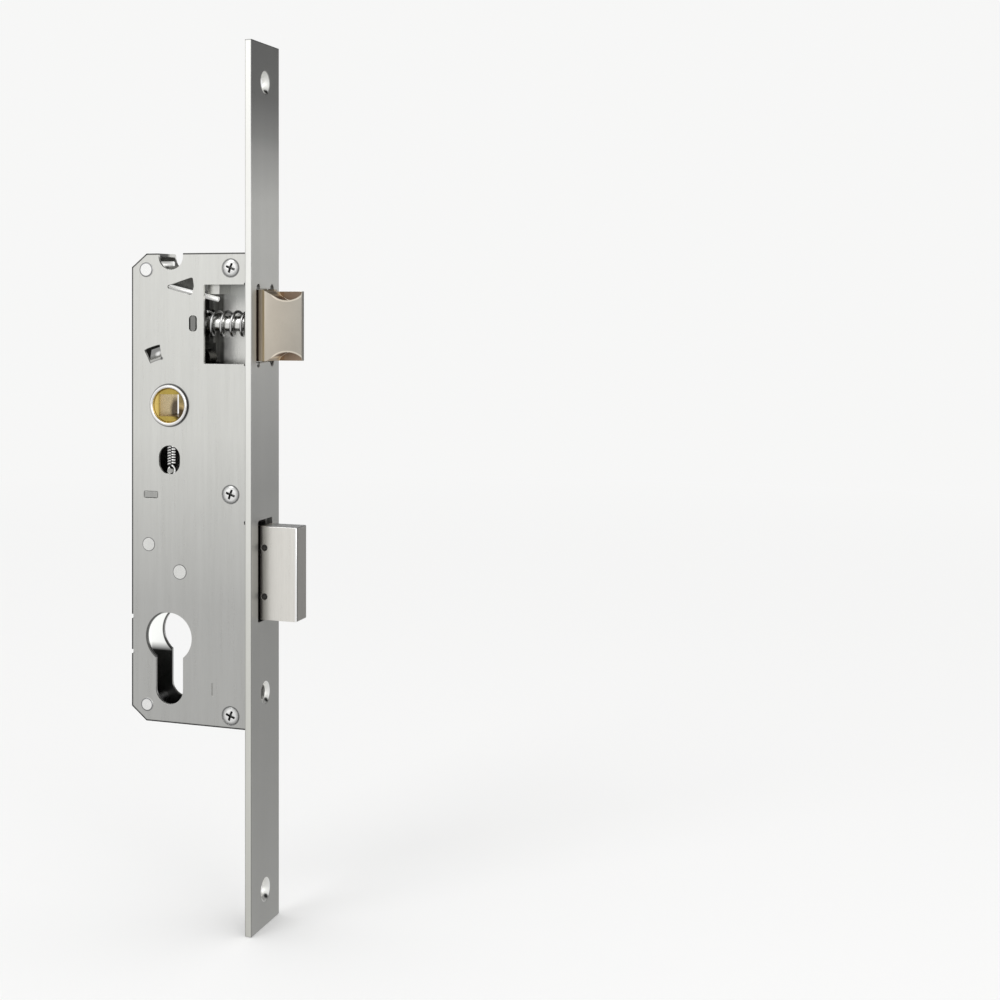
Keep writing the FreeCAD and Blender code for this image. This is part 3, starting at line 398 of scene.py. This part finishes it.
# The stop tab, bent in from a window between two circles about the spindle.
tab_x = -6.2 * mm
tab_z = 19.0 * mm
tab_patch = round_patch((tab_x, tab_z), 4.2 * mm, 4.4 * mm)
tab_window_angles = ((1.0, math.radians(100.0)), (-1.0, math.radians(117.0)))
tab_sides = [
    beyond((side * math.sin(angle), 0.0, -side * math.cos(angle)), 0.05 * mm, -0.05 * mm)
    for side, angle in tab_window_angles
]
tab_fold_radius = 17.65 * mm
tab_root_radius = 17.2 * mm
tab_hook = (-3.1 * mm, 17.2 * mm)
tab_gleam = (-5.4 * mm, cover_y + 1.5 * mm, tab_z)

cover_tints = [
    painted_fade_down,
    *seam_shadow_tints(),
    *outline_tints(grey(0.1), outline),
    cylinder_lip_shadow,
    # Painted shade on the bent-in stop tab and along its fold and its root, and a dark patch at its hook.
    (grey(0.7), tab_patch, beyond(Y, cover_y + 0.01 * mm, cover_y + 0.06 * mm)),
    (grey(0.68), *tab_sides, ring(spindle, tab_fold_radius, 0.4 * mm)),
    (grey(0.5), *tab_sides, ring(spindle, tab_root_radius, 0.25 * mm)),
    (grey(0.25), round_patch(tab_hook, 0.3 * mm, 0.7 * mm)),
]
# Painted light on the stop tab: a glow over its face and a painted highlight at tab_gleam.
cover_painted_light = [
    ((0.24, 0.24, 0.235), tab_patch, beyond(Y, cover_y + 0.5 * mm, cover_y + 1.6 * mm)),
    ((0.75, 0.75, 0.74), tab_patch, ball(tab_gleam, 0.5 * mm, 1.5 * mm),
     beyond(Y, cover_y + 0.1 * mm, cover_y + 0.6 * mm)),
]

# Inner faces of the tray. on_back and inside_case together are the back plate's inner face; inside_case alone
# keeps a tint off the outer faces behind it.

on_back = beyond(Y, back_y - 0.3 * mm, back_y - 0.1 * mm)
inside_case = beyond(Y, back_y + 0.2 * mm, back_y + 0.1 * mm)
notch_edge_x = -4.4 * mm
cylinder_light = (0.85, 0.86, 0.84)
cylinder_light_heights = (beyond(Z, -93.0 * mm, -90.0 * mm), beyond(Z, -70.0 * mm, -72.0 * mm))
guide_shadow_x = 16.1 * mm

# Painted shade on the tray: darker towards the bottom, darker over the inner faces, a painted shadow beside the latch
# guide, darker under the cover's upper edge by the latch window, and near black at the notch edges.
tray_painted_shade = [
    painted_fade_down,
    (
        grey(0.3),
        beyond(X, rear_x - 0.1 * mm, rear_x - 0.05 * mm),
        beyond(X, 11.0 * mm, 9.0 * mm),
        beyond(Z, top_z + 0.1 * mm, top_z + 0.05 * mm),
        beyond(Z, bottom_z - 0.1 * mm, bottom_z - 0.05 * mm),
        inside_case,
    ),
    (
        grey(0.3),
        beyond(X, 9.0 * mm, 10.0 * mm),
        beyond(X, guide_shadow_x, guide_shadow_x - 0.7 * mm),
        on_back,
        inside_case,
    ),
    ((0.6, 0.61, 0.61), beyond(X, 15.0 * mm, 16.0 * mm), beyond(Z, 35.0 * mm, 40.0 * mm), on_back, inside_case),
    (
        grey(0.12),
        beyond(X, notch_edge_x - 0.1 * mm, notch_edge_x - 0.05 * mm),
        beyond(X, notch_edge_x + 0.1 * mm, notch_edge_x + 0.05 * mm),
        beyond(Z, 48.0 * mm, 49.0 * mm),
        beyond(Y, 3.0 * mm, 0.0),
    ),
]
# Painted light on the tray's inner faces: a pale glow round the cylinder hole and on the rear wall beside it, and a
# faint glow on the back plate beside the guide's painted shadow.
tray_painted_light = [
    (
        cylinder_light,
        round_patch(cylinder, 9.6 * mm, 9.4 * mm),
        beyond(X, 0.5 * mm, -0.5 * mm),
        beyond(X, cover_low.x + 0.3 * mm, cover_low.x + 0.4 * mm),
        *cylinder_light_heights,
        on_back,
        inside_case,
    ),
    (
        cylinder_light,
        beyond(X, rear_x - 0.2 * mm, rear_x - 0.1 * mm),
        beyond(X, rear_x + 0.3 * mm, rear_x + 0.2 * mm),
        *cylinder_light_heights,
        inside_case,
    ),
    (
        (0.05, 0.05, 0.051),
        beyond(X, guide_shadow_x - 0.7 * mm, guide_shadow_x + 0.3 * mm),
        beyond(X, 30.0 * mm, 29.0 * mm),
        beyond(Z, 16.0 * mm, 17.0 * mm),
        beyond(Z, 45.0 * mm, 44.0 * mm),
        on_back,
        inside_case,
    ),
]

# Faceplate, painted light and shade: its long narrow sides lighter and shaded down their height, its front in lighter
# and darker bands, its back and top edge lines, and the three countersinks

plate_line = 0.45 * mm
plate_side = both_sides(plate_edge_y - 0.3 * mm, plate_edge_y - 0.15 * mm)
plate_front = beyond(X, front_x - 0.3 * mm, front_x - 0.2 * mm)
below_front = beyond(X, front_x - 0.02 * mm, front_x - 0.1 * mm)
before_back = beyond(X, plate_low.x + 0.1 * mm, plate_low.x + 0.2 * mm)
sink_heights = (117.55 * mm, -103.9 * mm, -175.4 * mm)

plate_tints = [
    ((2.1, 2.1, 2.08), plate_side),
    ((0.81, 0.81, 0.79), plate_side, beyond(Z, 20.0 * mm, -80.0 * mm)),
    ((0.97, 0.97, 0.96), plate_side, beyond(Z, -80.0 * mm, -160.0 * mm)),
    ((1.09, 1.09, 1.08), plate_front, beyond(Z, -10.0 * mm, -40.0 * mm)),
    (grey(0.5), plate_side, beyond(X, plate_low.x + plate_line, plate_low.x)),
    (grey(0.58), plate_front, beyond(Z, 92.0 * mm, 112.0 * mm)),
    ((1.55, 1.55, 1.53), plate_front, beyond(Z, 98.0 * mm, 74.0 * mm), beyond(Z, -30.0 * mm, 40.0 * mm)),
    ((0.45, 0.45, 0.46), plate_front, both_sides(plate_edge_y - plate_line, plate_edge_y - plate_line / 2)),
    ((0.45, 0.45, 0.46), beyond(Z, plate_high.z - plate_line, plate_high.z - plate_line / 2)),
]
# Each countersink: a painted highlight on its wall and a painted shadow below it.
for sink_z in sink_heights:
    wall = round_patch((front_x, sink_z), 4.6 * mm, 4.8 * mm)
    near_middle = both_sides(5.0 * mm, 4.8 * mm)
    shade = ball((front_x - 0.7 * mm, 1.9 * mm, sink_z - 3.2 * mm), 0.6 * mm, 1.2 * mm)
    plate_tints.append(((2.3, 2.3, 2.28), below_front, wall, near_middle, before_back))
    plate_tints.append((grey(0.06), shade))

# Latch head

latch_tip_top = 41.7 * mm
latch_back_y = 4.0 * mm
cheek_x = front_x + 1.9 * mm
tip_x = latch_high.x
scoop_radius = 4.75 * mm
scoop_depth = 3.2 * mm
scoop_x = tip_x - 4.2 * mm
scoop_lip = 0.6 * mm
scoop_slope = math.radians(35.0)


def scoop_tints(bowl_colour, ramp_colour, lip_colour):
    """Painted shade in the latch's two scoops, on their floors and the wall behind them, with a painted highlight on
    the lip round it.
    """
    rim = scoop_radius + 0.05 * mm
    before_wall = beyond(Y, latch_back_y + 0.1 * mm, latch_back_y + 0.05 * mm)
    past_cheek = beyond(X, front_x + 1.6 * mm, front_x + 2.4 * mm)
    past_front = beyond(X, front_x, front_x + 0.1 * mm)
    tints = []
    for edge_z, side in ((latch_tip_top, 1.0), (latch_low.z, -1.0)):
        scoop_z = edge_z + side * (scoop_radius - scoop_depth)
        way = (math.sin(scoop_slope), 0.0, side * math.cos(scoop_slope))
        touch_x = scoop_x - scoop_radius * way[0]
        touch_z = scoop_z - scoop_radius * way[2]
        floor = touch_x * way[0] + touch_z * way[2]
        lip = ring((scoop_x, scoop_z), rim + scoop_lip / 2, scoop_lip / 2)
        bowl = round_patch((scoop_x, scoop_z), rim, rim + 0.08 * mm)
        ramp = beyond(way, floor - 0.1 * mm, floor - 0.02 * mm)
        before_touch = beyond(X, touch_x + 0.02 * mm, touch_x)
        tints.append((lip_colour, lip, past_cheek, before_wall))
        tints.append((bowl_colour, bowl, before_wall))
        tints.append((ramp_colour, ramp, before_touch, past_front, before_wall))
    return tints


# Painted shade: an olive band across the latch cheek, also on its rim.
olive_shade_band = (
    (0.72, 0.68, 0.55),
    beyond(X, front_x + 1.1 * mm, front_x + 1.5 * mm),
    beyond(X, cheek_x + 0.3 * mm, cheek_x),
)
# Painted shade: the latch near black where it lies back inside the case.
latch_in_case = ((0.06, 0.04, 0.04), beyond(X, front_x - 0.05 * mm, front_x - 0.2 * mm))
# Latch head: the cheek painted lighter, a cooler tint towards the tip, painted shade on the end face, painted lighter
# towards the bottom, and painted shade and highlights in the scoops.
latch_tints = [
    ((1.1, 1.02, 0.92), beyond(X, cheek_x + 0.4 * mm, cheek_x)),
    ((0.86, 0.88, 0.9), beyond(X, tip_x - 7.0 * mm, tip_x - 0.5 * mm)),
    olive_shade_band,
    latch_in_case,
    ((0.44, 0.44, 0.45), beyond(X, tip_x - 0.25 * mm, tip_x - 0.1 * mm)),
    (grey(1.25), beyond(Z, 36.0 * mm, 17.0 * mm)),
    *scoop_tints((0.58, 0.47, 0.4), (0.95, 0.86, 0.74), (1.5, 1.5, 1.48)),
]

# Deadbolt head, painted light and shade: darker towards the faceplate and near black inside the case, a painted
# highlight line beside its darker end face, a painted pale top

bolt_tip_x = bolt_high.x
bolt_end = beyond(X, bolt_tip_x - 0.12 * mm, bolt_tip_x - 0.05 * mm)
bolt_tints = [
    ((0.35, 0.34, 0.33), beyond(X, front_x + 3.6 * mm, front_x - 0.4 * mm)),
    ((0.06, 0.05, 0.05), beyond(X, front_x - 0.05 * mm, front_x - 0.2 * mm)),
    (
        grey(1.4),
        beyond(X, bolt_tip_x - 0.9 * mm, bolt_tip_x - 0.75 * mm),
        beyond(X, bolt_tip_x - 0.1 * mm, bolt_tip_x - 0.15 * mm),
    ),
    (grey(0.5), bolt_end),
    (grey(0.4), bolt_end, beyond(Y, bolt_low.y + 1.0 * mm, bolt_low.y + 0.7 * mm)),
    ((1.8, 1.75, 1.7), beyond(Z, bolt_high.z - 0.1 * mm, bolt_high.z - 0.05 * mm)),
]

# Hub: its face left and right of the square hole, two painted dark reflections on it and painted shade in the hole,
# all that lies deeper than the face, and the arm

hub_face = beyond(Y, hub_y + 0.4 * mm, hub_y + 0.2 * mm)
hub_tints = [
    ((0.66, 0.66, 0.52), hub_face, beyond(X, -4.8 * mm, -3.8 * mm)),
    ((1.15, 1.15, 2.2), hub_face, beyond(X, 3.6 * mm, 4.4 * mm)),
    ((0.16, 0.15, 0.16), ball((4.4 * mm, hub_y, -3.2 * mm), 1.6 * mm, 3.0 * mm)),
    ((0.5, 0.52, 0.5), ball((5.2 * mm, hub_y, 2.6 * mm), 1.2 * mm, 3.4 * mm)),
    ((0.16, 0.14, 0.12), ball((-4.0 * mm, 6.6 * mm, -2.4 * mm), 3.0 * mm, 5.6 * mm)),
    ((1.15, 1.25, 2.3), beyond(Y, hub_y + 0.6 * mm, hub_y + 2.0 * mm)),
    ((0.06, 0.07, 0.1), round_patch(spindle, 9.4 * mm, 8.8 * mm)),
]
# Painted shade on the collar's outer wall below its rim.
collar_tints = [(
    grey(0.12),
    beyond(Y, collar_y + 0.35 * mm, collar_y + 0.45 * mm),
    round_patch(spindle, collar_radius - 0.1 * mm, collar_radius - 0.4 * mm),
)]

# Painted shade in the screws' cross recesses.
screw_recess = (grey(0.1), beyond(Y, screws_low.y + 0.15 * mm, screws_low.y + 0.45 * mm))
# Painted light: the steady spring's wire glows from about 31 mm up.
steady_leg_end = ((0.4, 0.4, 0.39), beyond(Z, 30.0 * mm, 31.0 * mm))

# Hub spring: painted shade along the middle of its coil and painted highlights glowing along both sides

coil_x = -0.6 * mm
coil_middle = (
    grey(0.1),
    beyond(X, coil_x - 0.8 * mm, coil_x - 0.5 * mm),
    beyond(X, coil_x + 0.8 * mm, coil_x + 0.5 * mm),
)
coil_sides = [
    ((0.55, 0.55, 0.54), beyond(X, coil_x + side * 0.6 * mm, coil_x + side * 0.8 * mm)) for side in (-1.0, 1.0)
]


# Finishes

sheet_pale = (0.76, 0.76, 0.73)
sheet_dark = (0.66, 0.66, 0.63)

finishes = {
    "cover": metal("brushed cover steel", sheet_pale, sheet_dark, 0.3, spread=0.12, along=ALONG_Z, lines=7000.0,
                   bump=4e-6, tints=cover_tints, painted_light=cover_painted_light),
    "tray": metal("brushed tray steel", sheet_pale, sheet_dark, 0.3, spread=0.12, along=ALONG_Z, lines=7000.0,
                  bump=4e-6, tints=tray_painted_shade, painted_light=tray_painted_light),
    # Darker copy of the sheet steel for the parts inside the case: painted shade.
    "inside": metal("inner sheet steel", (0.5, 0.5, 0.48), (0.36, 0.36, 0.35), 0.3, spread=0.12, along=ALONG_Z,
                    lines=5000.0, bump=4e-6),
    "faceplate": metal("brushed faceplate steel", (0.45, 0.45, 0.44), (0.39, 0.39, 0.38), 0.44, spread=0.1,
                       along=ALONG_Z, lines=7000.0, bump=5e-6, tints=plate_tints),
    "latch": metal("satin latch nickel", (0.5, 0.455, 0.39), (0.44, 0.4, 0.34), 0.42, lines=5000.0, bump=3e-6,
                   tints=latch_tints),
    # Paler copy of the latch nickel for its rounded rims: a painted highlight, carrying the painted olive shade and
    # the painted shade inside the case.
    "latch rim": metal("latch rim", (0.78, 0.73, 0.64), (0.66, 0.6, 0.52), 0.3, lines=5000.0,
                       tints=[olive_shade_band, latch_in_case]),
    "deadbolt": metal("satin deadbolt nickel", (0.88, 0.86, 0.81), (0.72, 0.7, 0.66), 0.3, spread=0.12,
                      along=ALONG_Z, lines=6000.0, bump=5e-6, tints=bolt_tints),
    "brass": metal("passivated brass", (0.86, 0.64, 0.2), (0.62, 0.45, 0.14), 0.26, spread=0.15, lines=900.0,
                   bump=5e-6, tints=hub_tints),
    "collar": metal("bright collar", (0.92, 0.91, 0.9), (0.84, 0.83, 0.83), 0.18, spread=0.06, tints=collar_tints),
    "bright": metal("bright zinc", (0.9, 0.9, 0.88), (0.8, 0.8, 0.78), 0.2),
    "rivet": metal("bright rivet", (0.98, 0.98, 0.97), (0.93, 0.93, 0.92), 0.25, tints=rivet_tints()),
    "screw": metal("bright screw", (0.96, 0.96, 0.95), (0.88, 0.88, 0.87), 0.2, tints=[screw_recess]),
    "white wire": metal("white zinc wire", (0.97, 0.97, 0.96), (0.9, 0.9, 0.89), 0.45, painted_light=[steady_leg_end]),
    # The deadbolt's pins painted near black as shade in their dimples.
    "shaded pin": metal("pin darkened as painted shade", grey(0.12), grey(0.06), 0.35),
    # Dark sheet for the latch guide inside the case: painted shade.
    "guide": metal("dark guide sheet", (0.26, 0.26, 0.25), (0.18, 0.18, 0.17), 0.4, spread=0.12, along=ALONG_Z,
                   lines=5000.0, bump=4e-6),
    "coil wire": metal("coil wire", (0.9, 0.9, 0.89), (0.8, 0.8, 0.79), 0.4, tints=[coil_middle], painted_light=coil_sides),
    "wire": metal("bright spring wire", (0.66, 0.66, 0.65), grey(0.5), 0.22, spread=0.1),
    # Pale finish for rounded rims: partly bright deburred metal and partly a painted highlight; it carries the dark
    # outlines and the painted shadow at the cylinder lip.
    "edge": metal("deburred bright edge", (0.95, 0.95, 0.93), (0.86, 0.86, 0.84), 0.24, spread=0.06,
                  tints=[*outline_tints(grey(0.1), outline), cylinder_lip_shadow]),
}

finish_of = {
    "faceplate": "faceplate",
    "case_tray": "tray",
    "case_cover": "cover",
    "case_pillars": "bright",
    "case_screws": "screw",
    "upper_corner_post": "rivet",
    "lower_corner_post": "rivet",
    "hub_collar_near": "collar",
    "hub_collar_far": "bright",
    "hub": "brass",
    "hub_spring": "wire",
    "hub_spring_anchor": "inside",
    "latch_head": "latch",
    "latch_shaft": "bright",
    "latch_tail": "inside",
    "latch_tail_clip": "wire",
    "latch_guide": "guide",
    "latch_bush": "brass",
    "latch_spring": "wire",
    "steady_spring": "white wire",
    "deadbolt_head": "deadbolt",
    "deadbolt_tail": "inside",
    "deadbolt_pins": "shaded pin",
    "deadbolt_guide_post": "bright",
    "detent_post": "bright",
    "detent_spring": "wire",
    "detent_spring_rest": "inside",
}
rim_of = {"latch_head": "latch rim"}


def wear_finish(piece, *slots):
    piece.data.materials.clear()
    for finish in slots:
        piece.data.materials.append(finishes[finish])


for name, finish in finish_of.items():
    wear_finish(nodes[name], finish, rim_of.get(name, "edge"))


# Small rounded edges. The hub and the deadbolt tail have none, because the bevel spoils their meshes.

merge_distance = 1e-6
sheet_edge = 0.4 * mm
milled_edge = 0.2 * mm
fine_edge = 0.12 * mm


def deburr(piece, width, bright=False):
    """Gives a carried-over solid the small rounded edges that a stamped or milled piece has."""
    weld = piece.modifiers.new("joined", "WELD")
    weld.merge_threshold = merge_distance
    flat = piece.modifiers.new("flat faces", "DECIMATE")
    flat.decimate_type = "DISSOLVE"
    flat.angle_limit = math.radians(0.6)
    edge = piece.modifiers.new("deburred", "BEVEL")
    edge.width = width
    edge.segments = 2
    edge.limit_method = "ANGLE"
    edge.angle_limit = math.radians(38.0)
    edge.use_clamp_overlap = True
    if bright:
        edge.material = 1


deburr(nodes["case_cover"], sheet_edge, bright=True)
for name in ("case_tray", "hub_collar_near", "hub_collar_far", "faceplate", "deadbolt_head", "detent_spring_rest"):
    deburr(nodes[name], milled_edge)
for name in ("latch_head", "latch_guide"):
    deburr(nodes[name], milled_edge, bright=True)
for name in ("case_screws", "upper_corner_post", "lower_corner_post"):
    deburr(nodes[name], fine_edge)


# Springs copied as smooth meshes

def new_object(name, data):
    made = bpy.data.objects.new(name, data)
    bpy.context.scene.collection.objects.link(made)
    return made


def finished_mesh(name, mesh):
    data = bpy.data.meshes.new(name)
    mesh.to_mesh(data)
    mesh.free()
    return data


def carried_spring(node, name, finish="wire"):
    """Copy of a spring's solid as one closed smooth mesh."""
    mesh = bmesh.new()
    mesh.from_mesh(nodes[node].data)
    bmesh.ops.remove_doubles(mesh, verts=mesh.verts, dist=merge_distance)
    for face in mesh.faces:
        face.smooth = True
    spring = new_object(name, finished_mesh(name, mesh))
    wear_finish(spring, finish)
    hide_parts(node)
    return spring


latch_coil = carried_spring("latch_spring", "latch_coil")
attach(latch_coil, "case")
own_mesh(latch_coil)
hub_coil = carried_spring("hub_spring", "hub_coil", "coil wire")
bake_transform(hub_coil)


# Studio

room_colour = (1.0, 1.0, 0.995, 1.0)
room_strength = 0.93
floor_gap = 0.2 * mm
floor_colour = (0.93, 0.93, 0.93, 1.0)


def mix_shaders(tree, factor, first, second):
    made = shader_node(tree, "ShaderNodeMixShader")
    for socket, value in zip(made.inputs, (factor, first, second)):
        tree.links.new(value, socket)
    return made.outputs[0]


def between(tree, value, low, high, at_low, at_high):
    """Goes from at_low where the value is low to at_high where it is high."""
    made = shader_node(tree, "ShaderNodeMapRange", Value=value, From_Min=low, From_Max=high, To_Min=at_low,
                       To_Max=at_high)
    return made.outputs[0]


def stage_floor():
    """Pale floor that fades into the room; metal sees it greyer, most of all behind the lock."""
    mesh = bmesh.new()
    floor_z = solid_box[0][2] - floor_gap
    bmesh.ops.create_grid(mesh, x_segments=1, y_segments=1, size=30.0, matrix=Matrix.Translation((0, 0, floor_z)))
    data = finished_mesh("floor", mesh)
    floor = new_object("floor", data)
    material = bpy.data.materials.new("pale floor")
    material.use_nodes = True
    tree = material.node_tree
    tree.nodes.clear()
    place = shader_node(tree, "ShaderNodeTexCoord").outputs["Object"]
    parts = shader_node(tree, "ShaderNodeSeparateXYZ", Vector=place)
    far = ramp_node(tree, vector_node(tree, "LENGTH", place)["Value"], 0.3, 1.6)
    in_metal = between(tree, parts.outputs["Y"], -0.3, 0.3, 0.78, 0.5)
    near = shader_node(tree, "ShaderNodeBsdfDiffuse", Color=floor_colour).outputs[0]
    room = shader_node(tree, "ShaderNodeEmission", Color=room_colour, Strength=room_strength).outputs[0]
    mirrored = shader_node(tree, "ShaderNodeEmission", Color=room_colour, Strength=in_metal).outputs[0]
    glossy_ray = shader_node(tree, "ShaderNodeLightPath").outputs["Is Glossy Ray"]
    seen = mix_shaders(tree, glossy_ray, mix_shaders(tree, far, near, room), mirrored)
    out = shader_node(tree, "ShaderNodeOutputMaterial")
    tree.links.new(seen, out.inputs[0])
    data.materials.append(material)


def studio_world():
    """Pale room for the camera and the floor; in metal it shows brighter in front and above, greyer behind."""
    world = bpy.data.worlds.new("studio")
    bpy.context.scene.world = world
    world.use_nodes = True
    tree = world.node_tree
    tree.nodes.clear()
    way = shader_node(tree, "ShaderNodeTexCoord").outputs["Generated"]
    parts = shader_node(tree, "ShaderNodeSeparateXYZ", Vector=way)
    in_front = between(tree, parts.outputs["Z"], 0.0, 0.3, 1.0, 1.1)
    behind = between(tree, parts.outputs["Z"], 0.05, 0.14, 1.3, 0.12)
    side = between(tree, parts.outputs["Y"], -0.3, 0.5, 0.0, 1.0)
    mirrored = shader_node(tree, "ShaderNodeMix", {"data_type": "FLOAT"})
    for socket, value in zip((mirrored.inputs[0], mirrored.inputs[2], mirrored.inputs[3]), (side, in_front, behind)):
        tree.links.new(value, socket)
    room = shader_node(tree, "ShaderNodeBackground", Color=room_colour, Strength=room_strength).outputs[0]
    glossy = shader_node(tree, "ShaderNodeBackground", Color=room_colour, Strength=mirrored.outputs[0]).outputs[0]
    glossy_ray = shader_node(tree, "ShaderNodeLightPath").outputs["Is Glossy Ray"]
    out = shader_node(tree, "ShaderNodeOutputWorld")
    tree.links.new(mix_shaders(tree, glossy_ray, room, glossy), out.inputs[0])


def studio_light(name, place, aim, width, height, power):
    light = bpy.data.lights.new(name, "AREA")
    light.shape = "RECTANGLE"
    light.size = width
    light.size_y = height
    light.energy = power
    away = Vector(place) - Vector(aim)
    turn = away.to_track_quat("Z", "Y").to_matrix().to_4x4()
    new_object(name, light).matrix_world = Matrix.Translation(place) @ turn


def studio_camera():
    """Level camera in front of the lock and to its right; the shifts put the lock where the photo has it."""
    data = bpy.data.cameras.new("camera")
    data.lens = 61.77
    data.sensor_width = 36.0
    data.shift_x = 0.1926
    data.shift_y = -0.1995
    camera = new_object("camera", data)
    camera.location = (0.274755, -0.575359, 0.038408)
    camera.rotation_euler = (math.pi / 2, 0.0, math.radians(21.22))
    bpy.context.scene.camera = camera


stage_floor()
studio_world()
studio_light("key", (-0.5, -1.2, 1.0), (0.0, 0.0, 0.05), 0.7, 0.7, 4.0)
studio_light("fill", (0.9, -0.9, 0.3), (0.0, 0.0, 0.0), 0.5, 0.9, 1.5)
studio_camera()
bpy.context.scene.view_settings.view_transform = "Standard"
